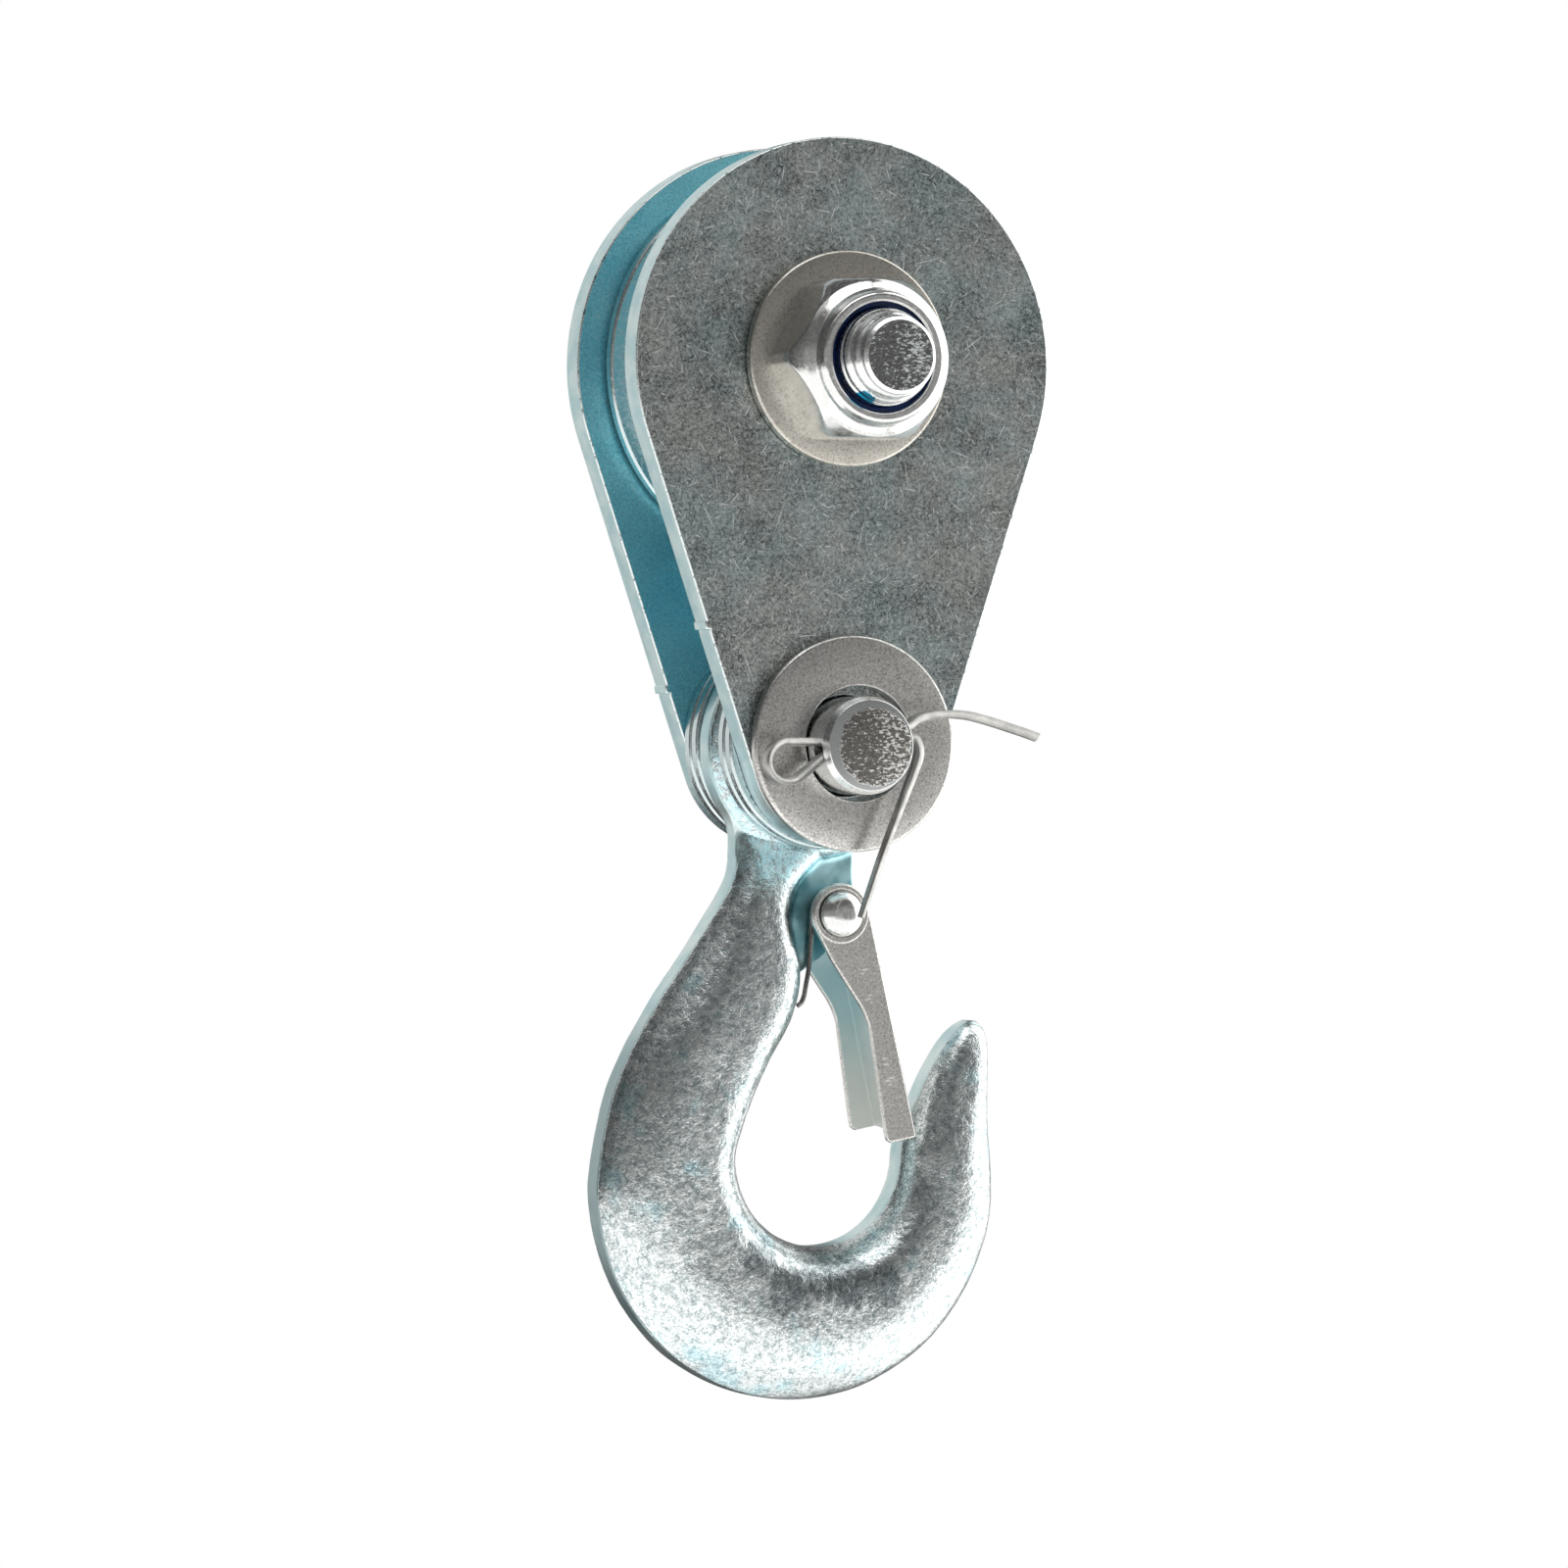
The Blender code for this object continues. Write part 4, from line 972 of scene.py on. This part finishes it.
def cut_out(piece, other):
    """Cuts another object's shape out of a piece. The other object is then removed."""
    modifier = piece.modifiers.new("cut", "BOOLEAN")
    modifier.operation = "DIFFERENCE"
    modifier.solver = "EXACT"
    modifier.object = other
    bpy.context.view_layer.update()
    mesh = bpy.data.meshes.new_from_object(piece.evaluated_get(bpy.context.evaluated_depsgraph_get()))
    piece.modifiers.clear()
    piece.data = mesh
    bpy.data.objects.remove(other)


def half_round(half_width, thickness, steps):
    """A half-round section. Its flat side faces the inside of the bend."""
    edge = 0.18 * MM
    section = [(0.5 * thickness, -half_width + edge), (0.5 * thickness, half_width - edge)]
    for step in range(steps + 1):
        angle = math.pi * step / steps
        section.append((0.5 * thickness - edge * 0.8 - (thickness - edge * 0.8) * math.sin(angle),
                        half_width * math.cos(angle)))
    return section


def build_cotter():
    """One half-round wire: upper leg, through the pin, round the eye, back through the pin, lower leg."""
    apart = 0.95
    slope = math.tan(COTTER_HOLE_TILT)
    upper = [(38.7, 1.6), (36.3, 2.4), (33.0, 3.4), (29.7, 4.4), (25.8, 5.45), (22.6, 6.1), (18.9, 6.35),
             (14.9, 6.1), (12.0, 5.3), (10.4, 4.1)]
    upper += [(x, COTTER_HOLE_LIFT + apart + slope * x) for x in (8.0, 4.5, 0.0, -4.5)]
    upper += [(-8.5, 0.65), (-12.5, 0.75)]
    eye = arc((-16.9, -3.2), 4.0, 80.0, 312.0, 12)
    lower = [(x, COTTER_HOLE_LIFT - apart + slope * x) for x in (-8.5, -4.5, 0.0, 4.5, 9.0)]
    lower += [(11.4, 1.5), (12.5, -0.6), (12.3, -3.0), (11.0, -6.4), (8.2, -13.0), (4.2, -22.5),
              (-0.5, -35.0)]
    path = curve_through(upper + eye + lower, 6)
    route = [(PIN[0] + x * MM, COTTER_Y, PIN[1] + z * MM) for x, z in path]
    sizes = np.interp(np.arange(len(path)), (len(path) - 26, len(path) - 1), (1.0, 0.62))
    section = half_round(COTTER_HALF_WIDTH, COTTER_THICKNESS, 14)
    swept("split_cotter", route, section, COTTER, "pin", "cotter_pin", slot="plain_steel", smooth_angle=50.0,
          sizes=sizes)


# ================================================================ hook

# Each station is (outer x, outer z, inner x, inner z, half depth, outer fullness, inner fullness), in
# millimetres from the pin centre. A fuller flank stays flat for longer and turns down later.
SHANK_STATIONS = (
    (-12.6, -12.0, 9.6, -12.6, 3.7, 2.6, 2.6),
    (-16.6, -17.6, 8.0, -19.0, 4.2, 2.6, 2.6),
    (-17.2, -21.8, 1.6, -23.6, 5.4, 2.6, 2.8),
    (-18.0, -26.6, -4.0, -29.6, 7.3, 2.6, 3.4),
    (-20.6, -31.6, -5.4, -37.0, 8.8, 2.6, 4.2),
    (-25.4, -38.6, -3.2, -47.6, 9.8, 2.6, 5.0),
    (-31.0, -46.4, -5.4, -56.6, 10.6, 2.6, 5.4),
    (-36.4, -54.2, -10.4, -65.0, 11.2, 2.5, 5.6),
    (-41.4, -62.8, -14.2, -72.6, 11.6, 2.4, 5.6),
    (-45.4, -72.0, -16.7, -79.0, 11.9, 2.4, 5.6),
)
TIP_STATIONS = (
    (40.2, -87.0, 19.5, -82.5, 9.6, 2.6, 2.8),
    (39.5, -79.5, 22.4, -75.0, 8.2, 3.0, 2.6),
    (39.4, -71.4, 26.2, -67.0, 6.9, 3.6, 2.5),
    (39.7, -64.2, 30.0, -61.2, 5.6, 3.4, 2.4),
    (39.2, -59.4, 33.0, -58.2, 4.0, 2.8, 2.4),
    (37.6, -57.0, 35.2, -56.8, 2.0, 2.2, 2.2),
)
FLANK_CUT = 0.94                    # share of the flank's curve kept, so that it meets the band at an angle
NECK_FILLET = 10.0
BOWL_OUTER = (-4.05, -90.4, 44.5)
BOWL_INNER = (0.6, -84.4, 18.6)
BAND_HALF = 2.6
EYE_RADIUS = 23.6
EYE_BORE = 10.5
EYE_HALF = 4.85
LUG_RADIUS = 5.7
LUG_HALF = 2.6
VOXEL = 0.42 * MM
RIVET_HOLE = arc(RIVET, 2.7 * MM, 0.0, 350.0, 35)


def hook_stations():
    stations = list(SHANK_STATIONS)
    for share in np.linspace(0.0, 1.0, 17):
        angle = math.radians(176.0 + 176.0 * share)
        depth = 12.0 - 1.8 * max(0.0, 2.0 * share - 1.0)
        edges = [(x + radius * math.cos(angle), z + radius * math.sin(angle))
                 for x, z, radius in (BOWL_OUTER, BOWL_INNER)]
        stations.append((*edges[0], *edges[1], depth, 2.3, 5.6 - 2.8 * share))
    return curve_through(stations + list(TIP_STATIONS), 6)


def hook_section(station, steps):
    """A closed section: a flat band at each edge and a domed flank on each face."""
    outer = np.array(station[:2])
    inner = np.array(station[2:4])
    depth = station[4]
    band = min(BAND_HALF, 0.55 * depth)
    points = []
    for side in (-1.0, 1.0):
        for turn in np.linspace(-math.pi / 2, math.pi / 2, steps):
            across = side * math.sin(turn)
            fullness = station[5] if across > 0 else station[6]
            edge = math.sqrt(1 - FLANK_CUT ** fullness)
            rise = (math.sqrt(1 - abs(FLANK_CUT * across) ** fullness) - edge) / (1 - edge)
            place = (outer + inner) / 2 + (outer - inner) / 2 * across
            points.append((place[0], side * (band + (depth - band) * rise), place[1]))
    return points


def neck_outline():
    """Fills the hollow between the eye and the back of the shank with a smooth fillet, in metres."""
    back = SHANK_STATIONS[2][0] - 0.3
    centre_x = back - NECK_FILLET
    reach = EYE_RADIUS + NECK_FILLET
    centre = (centre_x, -math.sqrt(reach ** 2 - centre_x ** 2))
    lean = math.degrees(math.atan2(-centre[1], -centre[0]))
    fill = arc(centre, NECK_FILLET, lean, 0.0, 16)
    round_eye = arc((0.0, 0.0), EYE_RADIUS, 195.0, 178.0 + lean, 8)
    points = round_eye + fill + [(back - 0.1, -23.0), (-10.0, -25.0), (-8.0, -12.0)]
    return [(PIN[0] + x * MM, PIN[1] + z * MM) for x, z in points]


def in_frame(points):
    """Millimetres from the pin centre to metres in the frame."""
    return [(PIN[0] + x * MM, y * MM, PIN[1] + z * MM) for x, y, z in points]


def lug_outline():
    """The latch lug about the rivet, running back into the neck, in metres."""
    right = RIVET[0] + LUG_RADIUS * MM
    end = arc(RIVET, LUG_RADIUS * MM, 0.0, -55.0, 12)
    back = [(PIN[0] + x * MM, PIN[1] + z * MM)
            for x, z in ((1.6, -44.0), (-3.0, -47.0), (-9.0, -47.0), (-9.0, -24.0), (-2.0, -15.0))]
    return [(right, PIN[1] - 15.0 * MM), *end, *back]


def build_hook():
    sections = [hook_section(station, 28) for station in hook_stations()]
    verts = in_frame([point for section in sections for point in section])
    faces = capped_faces(len(sections), len(sections[0]))
    half = EYE_HALF * MM
    eye_corners = ring_corners(EYE_RADIUS * MM, EYE_BORE * MM, -half, half, 3.0 * MM, 1.0 * MM)
    parts = [(verts, faces), turned_mesh(eye_corners, PIN, angles=120)]
    shape = bmesh.new()
    for part_verts, part_faces in parts:
        made = [shape.verts.new(vert) for vert in part_verts]
        for face in part_faces:
            shape.faces.new([made[i] for i in face])
    shape.from_mesh(plate_mesh([lug_outline(), RIVET_HOLE], -LUG_HALF * MM, LUG_HALF * MM, 0.3 * MM))
    shape.from_mesh(plate_mesh([neck_outline()], -BAND_HALF * MM, BAND_HALF * MM, 0.2 * MM))
    bmesh.ops.remove_doubles(shape, verts=shape.verts, dist=1e-7)
    bmesh.ops.recalc_face_normals(shape, faces=shape.faces)
    blank = placed("hook_blank", mesh_of(shape, "hook"))
    remesh = blank.modifiers.new("weld", "REMESH")
    remesh.mode = "VOXEL"
    remesh.voxel_size = VOXEL * 1.0
    soften = blank.modifiers.new("soften", "SMOOTH")
    soften.factor = 0.5
    soften.iterations = 4
    smooth = baked(blank)
    dent(smooth)
    finished("forged_hook", smooth, FORGED, "hook", "hook", slot="forged_zinc", smooth_angle=180.0)


def dent(mesh):
    """Small forging unevenness along the surface normals, less on the parting band."""
    count = len(mesh.vertices)
    places = np.empty(count * 3)
    normals = np.empty(count * 3)
    mesh.vertices.foreach_get("co", places)
    mesh.vertices.foreach_get("normal", normals)
    places = places.reshape(-1, 3)
    normals = normals.reshape(-1, 3)
    for i, place in enumerate(places):
        broad = noise.noise(Vector(place) / (11 * MM))
        small = noise.noise(Vector(place) / (2.6 * MM) + Vector((7.0, 3.0, 1.0)))
        share = 0.35 if abs(place[1]) < BAND_HALF * MM else 1.0
        places[i] += normals[i] * (share * (0.16 * MM * broad + 0.05 * MM * small) - 0.24 * MM)
    mesh.vertices.foreach_set("co", places.ravel())
    mesh.update()


# ================================================================ latch, rivet and spring

LATCH_HALF = span("latch", 1)[1]
LATCH_SHEET = 1.4 * MM
LATCH_EAR = 6.4 * MM
WEB_TOP = -122.5 * MM
LATCH_LENGTH = 47.0 * MM
LATCH_TWIST = (1.2 * MM, 2.2 * MM)  # how far the far flange's end sits back and up from the near one's


def latch_outline():
    """Side view of the latch: a round ear about the rivet, tapering to a straight arm."""
    ear = arc(RIVET, LATCH_EAR, 12.0, 200.0, 56)
    left = [(1.6, -122.6), (5.2, -127.9), (8.0, -131.9), (9.0, -133.7), (9.8, -135.6), (10.2, -137.0),
            (13.6, -158.6), (14.0, -159.9), (14.8, -160.4)]
    right = [(20.05, -159.33), (20.36, -159.1), (20.44, -158.8)]
    return ear + [(x * MM, z * MM) for x, z in left + right]


def build_latch():
    outline = latch_outline()
    block = plain_plate("latch_block", [outline], -LATCH_HALF, LATCH_HALF)
    top = RIVET + np.array((LATCH_EAR, 0.0))
    foot = np.array(outline[-1])
    along = (foot - top) / np.linalg.norm(foot - top)
    inward = np.array((along[1], -along[0]))
    upper = top + along * ((WEB_TOP - top[1]) / along[1])
    beyond = 12.0 * MM
    hollow = [
        tuple(foot + inward * LATCH_SHEET + along * beyond),
        tuple(upper + inward * LATCH_SHEET),
        tuple(upper - inward * beyond),
        (RIVET[0] + 2 * beyond, RIVET[1] + beyond),
        (RIVET[0] - 2 * beyond, RIVET[1] + beyond),
        (RIVET[0] - 2 * beyond, foot[1] - beyond),
    ]
    half = LATCH_HALF - LATCH_SHEET
    cut_out(block, plain_plate("latch_hollow", [hollow], -half, half))
    cut_out(block, plain_plate("latch_holes", [RIVET_HOLE], -2 * LATCH_HALF, 2 * LATCH_HALF))
    bend = block.modifiers.new("edges", "BEVEL")
    bend.width = 0.36 * MM
    bend.segments = 3
    bend.limit_method = "ANGLE"
    bend.angle_limit = math.radians(50.0)
    mesh = baked(block)
    flat = bmesh.new()
    flat.from_mesh(mesh)
    bmesh.ops.triangulate(flat, faces=flat.faces, ngon_method="EAR_CLIP")
    flat.to_mesh(mesh)
    flat.free()
    for vert in mesh.vertices:
        below = max(0.0, RIVET[1] - vert.co.z) / LATCH_LENGTH
        away = (vert.co.y + LATCH_HALF) / (2 * LATCH_HALF)
        vert.co.x -= LATCH_TWIST[0] * below * away
        vert.co.z += LATCH_TWIST[1] * below * away
    latch = finished("latch_channel", mesh, [LATCH_FACE, LATCH_INSIDE_PAINTED_LIGHT], "latch", "latch", slot="latch_zinc")
    # Faces inside the channel take the copy with painted light.
    inner_half = LATCH_HALF - LATCH_SHEET + 0.05 * MM
    for face in latch.data.polygons:
        if abs(face.center.y) < inner_half and face.normal.x < 0.5 and face.normal.z > -0.5:
            face.material_index = 1
    weigh_normals(latch)

    face = LATCH_HALF
    for side, word in ((FRONT, "near"), (REAR, "far")):
        ring = [(radius, side * along, edge) for radius, along, edge in (
            (4.95 * MM, face - 0.3 * MM, 0.0), (6.15 * MM, face - 0.3 * MM, 0.0),
            (6.15 * MM, face + 0.55 * MM, 0.45 * MM), (4.95 * MM, face + 0.55 * MM, 0.45 * MM))]
        turned(f"latch_eyelet_{word}", ring, LATCH_FACE, "latch", slot="latch_zinc", centre=RIVET, angles=96)


def plain_plate(name, outlines, low, high):
    """A square-edged plate object, used as a blank or a cutter."""
    mesh = plate_mesh(outlines, low, high, 0.0)
    shape = bmesh.new()
    shape.from_mesh(mesh)
    bmesh.ops.remove_doubles(shape, verts=shape.verts, dist=1e-6)
    bmesh.ops.dissolve_limit(shape, angle_limit=math.radians(0.5), verts=shape.verts, edges=shape.edges)
    bmesh.ops.recalc_face_normals(shape, faces=shape.faces)
    shape.to_mesh(mesh)
    shape.free()
    return placed(name, mesh)


def build_rivet():
    low, high = span("latch_rivet", 1)
    shank = 2.4 * MM
    head = 4.75 * MM
    near = -LATCH_HALF - 0.3 * MM
    dome = []
    for angle in np.linspace(math.radians(4.0), math.pi / 2, 14):
        dome.append((head * math.cos(angle) ** 0.75 if angle < math.pi / 2 - 0.01 else 0.0,
                     near + (low - near) * math.sin(angle), 0.0))
    corners = [
        (0.0, high, 0.0),
        (3.4 * MM, high - 0.1 * MM, 0.3 * MM),
        (4.1 * MM, high - 0.8 * MM, 0.4 * MM),
        (4.1 * MM, LATCH_HALF + 0.3 * MM, 0.2 * MM),
        (shank, LATCH_HALF + 0.3 * MM, 0.0),
        (shank, near, 0.0),
        (head, near, 0.0),
        *dome,
    ]
    turned("rivet", corners, NUT, "hook", "latch_rivet", slot="bright_zinc", centre=RIVET, closed=False,
           angles=96, smooth_angle=50.0)


def build_spring():
    """A torsion spring: a leg along the hook, turns about the rivet, and a leg along the latch's web."""
    wire = 0.5 * MM
    coil = 4.3 * MM
    pitch = 2 * wire + 0.3 * MM
    first = -(LUG_HALF * MM + 0.3 * MM + wire)
    turns = 2.25
    hook_leg = [(x * MM, first, z * MM) for x, z in (
        (-4.1, -131.9), (-3.2, -131.2), (-2.6, -129.8), (-2.2, -127.8), (-1.5, -124.0), (-1.0, -118.0))]
    steps = 90
    coil_route = []
    for i in range(steps + 1):
        turn = turns * i / steps
        angle = math.pi + turn * 2 * math.pi
        x, z = RIVET[0] + coil * math.cos(angle), RIVET[1] + coil * math.sin(angle)
        coil_route.append((x, first - pitch * turn, z))
    last = coil_route[-1][1]
    latch_leg = [(x * MM, last, z * MM) for x, z in ((7.9, -116.9), (9.4, -123.0), (11.2, -131.0))]
    route = np.vstack((curve_through(hook_leg, 6), coil_route, curve_through(latch_leg, 6)))
    section = [(wire * math.cos(a), wire * math.sin(a)) for a in np.linspace(0, 2 * math.pi, 13)[:-1]]
    spring = swept("torsion_spring", route, section, SPRING, None, "latch_spring", slot="plain_steel",
                   smooth_angle=60.0)
    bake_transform(spring)


# ================================================================ stage, light and camera

CAMERA_AZIMUTH = math.radians(-23.53)
CAMERA_ELEVATION = math.radians(0.07)
CAMERA_ROLL = math.radians(-0.16)
CAMERA_DISTANCE = 1.6
CAMERA_LENS = 177.84                # millimetres, on a 36 mm sensor
CAMERA_OFFSET = (-4.99 * MM, -7.82 * MM)

# Each panel of soft light: azimuth range and elevation range in degrees, softness in degrees, brightness.
# Azimuth 0 is the camera's side, and it grows to the camera's right.
PANELS = (
    ((-72.0, 66.0), (-12.0, 12.0), 7.0, 0.20),      # grey card in front
    ((-72.0, 66.0), (-12.0, 44.0), 9.0, 0.06),
    ((70.0, 151.0), (-50.0, 62.0), 2.5, 2.0),       # softbox on the right
    ((-135.0, 75.0), (-58.0, -10.0), 3.0, 1.35),    # white table top
    ((-190.0, 190.0), (-95.0, -52.0), 6.0, 1.2),
    ((-75.0, 75.0), (46.0, 84.0), 9.0, 0.50),       # overhead softbox
    ((-175.0, -112.0), (-9.0, 62.0), 4.0, 0.85),    # white wall behind, on the left
    ((151.0, 190.0), (-50.0, 62.0), 3.0, 0.12),
)
AMBIENT = 0.10


def camera_axes():
    """Unit vectors from the object to the camera, to its right and up."""
    back = Vector((math.sin(CAMERA_AZIMUTH) * math.cos(CAMERA_ELEVATION),
                   -math.cos(CAMERA_AZIMUTH) * math.cos(CAMERA_ELEVATION), math.sin(CAMERA_ELEVATION)))
    right = (-back).cross(Vector((0.0, 0.0, 1.0))).normalized()
    up = right.cross(-back)
    cos, sin = math.cos(CAMERA_ROLL), math.sin(CAMERA_ROLL)
    return back, right * cos + up * sin, up * cos - right * sin


def build_camera():
    back, right, up = camera_axes()
    camera = bpy.data.cameras.new("camera")
    camera.lens = CAMERA_LENS
    camera.sensor_width = 36.0
    camera.clip_start = 0.05
    camera.clip_end = 50.0
    holder = placed("camera", camera)
    aim = Vector((PIN[0], 0.0, PIN[1]))
    holder.location = aim + back * CAMERA_DISTANCE + right * CAMERA_OFFSET[0] + up * CAMERA_OFFSET[1]
    turn = Matrix((right, up, back)).transposed()
    holder.rotation_mode = "QUATERNION"
    holder.rotation_quaternion = turn.to_quaternion()
    bpy.context.scene.camera = holder


def build_world():
    """A studio of soft panels for light and reflections, in front of a white background."""
    world = bpy.data.worlds.new("studio")
    bpy.context.scene.world = world
    world.use_nodes = True
    studio = Nodes(world.node_tree)
    studio.nodes.clear()
    back, right, _up = camera_axes()
    direction = studio.add("TexCoord", {}).outputs["Generated"]

    def along(axis):
        return studio.vector("DOT_PRODUCT", direction, axis, "Value")

    def step(value, edge, softness, ends):
        return studio.span(value, math.radians(edge - softness), math.radians(edge + softness), *ends)

    rising = (0.0, 1.0)
    falling = (1.0, 0.0)
    azimuth = studio.math("ARCTAN2", along(right), along(Vector((back.x, back.y, 0.0)).normalized()))
    below = studio.math("LESS_THAN", azimuth, -math.pi * 0.99)
    azimuth = studio.math("ADD", azimuth, studio.times(below, 2 * math.pi))
    elevation = studio.math("ARCSINE", along(Vector((0.0, 0.0, 1.0))))
    total = AMBIENT
    for (az_low, az_high), (el_low, el_high), softness, brightness in PANELS:
        mask = step(azimuth, az_low, softness, rising)
        mask = studio.times(mask, step(azimuth, az_high, softness, falling))
        mask = studio.times(mask, step(elevation, el_low, softness, rising))
        mask = studio.times(mask, step(elevation, el_high, softness, falling))
        total = studio.scaled(mask, brightness, total)
    seen = studio.add("LightPath", {}).outputs["Is Camera Ray"]
    light = studio.add("Background", {"Strength": total, "Color": (1.0, 0.985, 0.965, 1.0)})
    white = studio.add("Background", {"Color": (1.0, 1.0, 1.0, 1.0)})
    choice = studio.add("MixShader", {0: seen, 1: light.outputs[0], 2: white.outputs[0]})
    studio.add("OutputWorld", {"Surface": choice.outputs[0]})


def build_lamp(name, azimuth, elevation, distance, size, watts):
    """A soft lamp aimed at the object, placed by its direction as seen from the object."""
    back, right, _up = camera_axes()
    turn = math.radians(azimuth)
    lift = math.radians(elevation)
    away = (back * math.cos(turn) + right * math.sin(turn)) * math.cos(lift)
    away.z += math.sin(lift)
    lamp = bpy.data.lights.new(name, "AREA")
    lamp.shape = "SQUARE"
    lamp.size = size
    lamp.energy = watts
    holder = placed(name, lamp)
    holder.location = Vector((0.0, 0.0, PIN[1])) + away * distance
    holder.rotation_mode = "QUATERNION"
    holder.rotation_quaternion = away.to_track_quat("Z", "Y")
    holder.visible_camera = False


def build_stage():
    floor_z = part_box("hook")[0][2] - 0.24
    shape = bmesh.new()
    bmesh.ops.create_circle(shape, cap_ends=True, segments=96, radius=1.7,
                            matrix=Matrix.Translation((0.0, 0.0, floor_z)))
    mesh = mesh_of(shape, "floor")
    floor = placed("floor", mesh)
    finish = Finish("pale_floor", 0.7, metallic=0.0)
    finish.colour(finish.mix(finish.noise(0.4), (0.86, 0.86, 0.86), (0.9, 0.9, 0.9)))
    mesh.materials.append(finish.material)
    floor.visible_glossy = False
    build_lamp("overhead_softbox", 20.0, 66.0, 1.5, 1.0, 5.0)
    build_world()


# ================================================================ everything

build_cheeks()
build_nut()
build_bolt()
build_washers()
build_bearing()
build_sheave()
build_pin()
build_cotter()
build_hook()
build_latch()
build_rivet()
build_spring()
build_camera()
build_stage()
bpy.context.scene.view_settings.view_transform = "Standard"
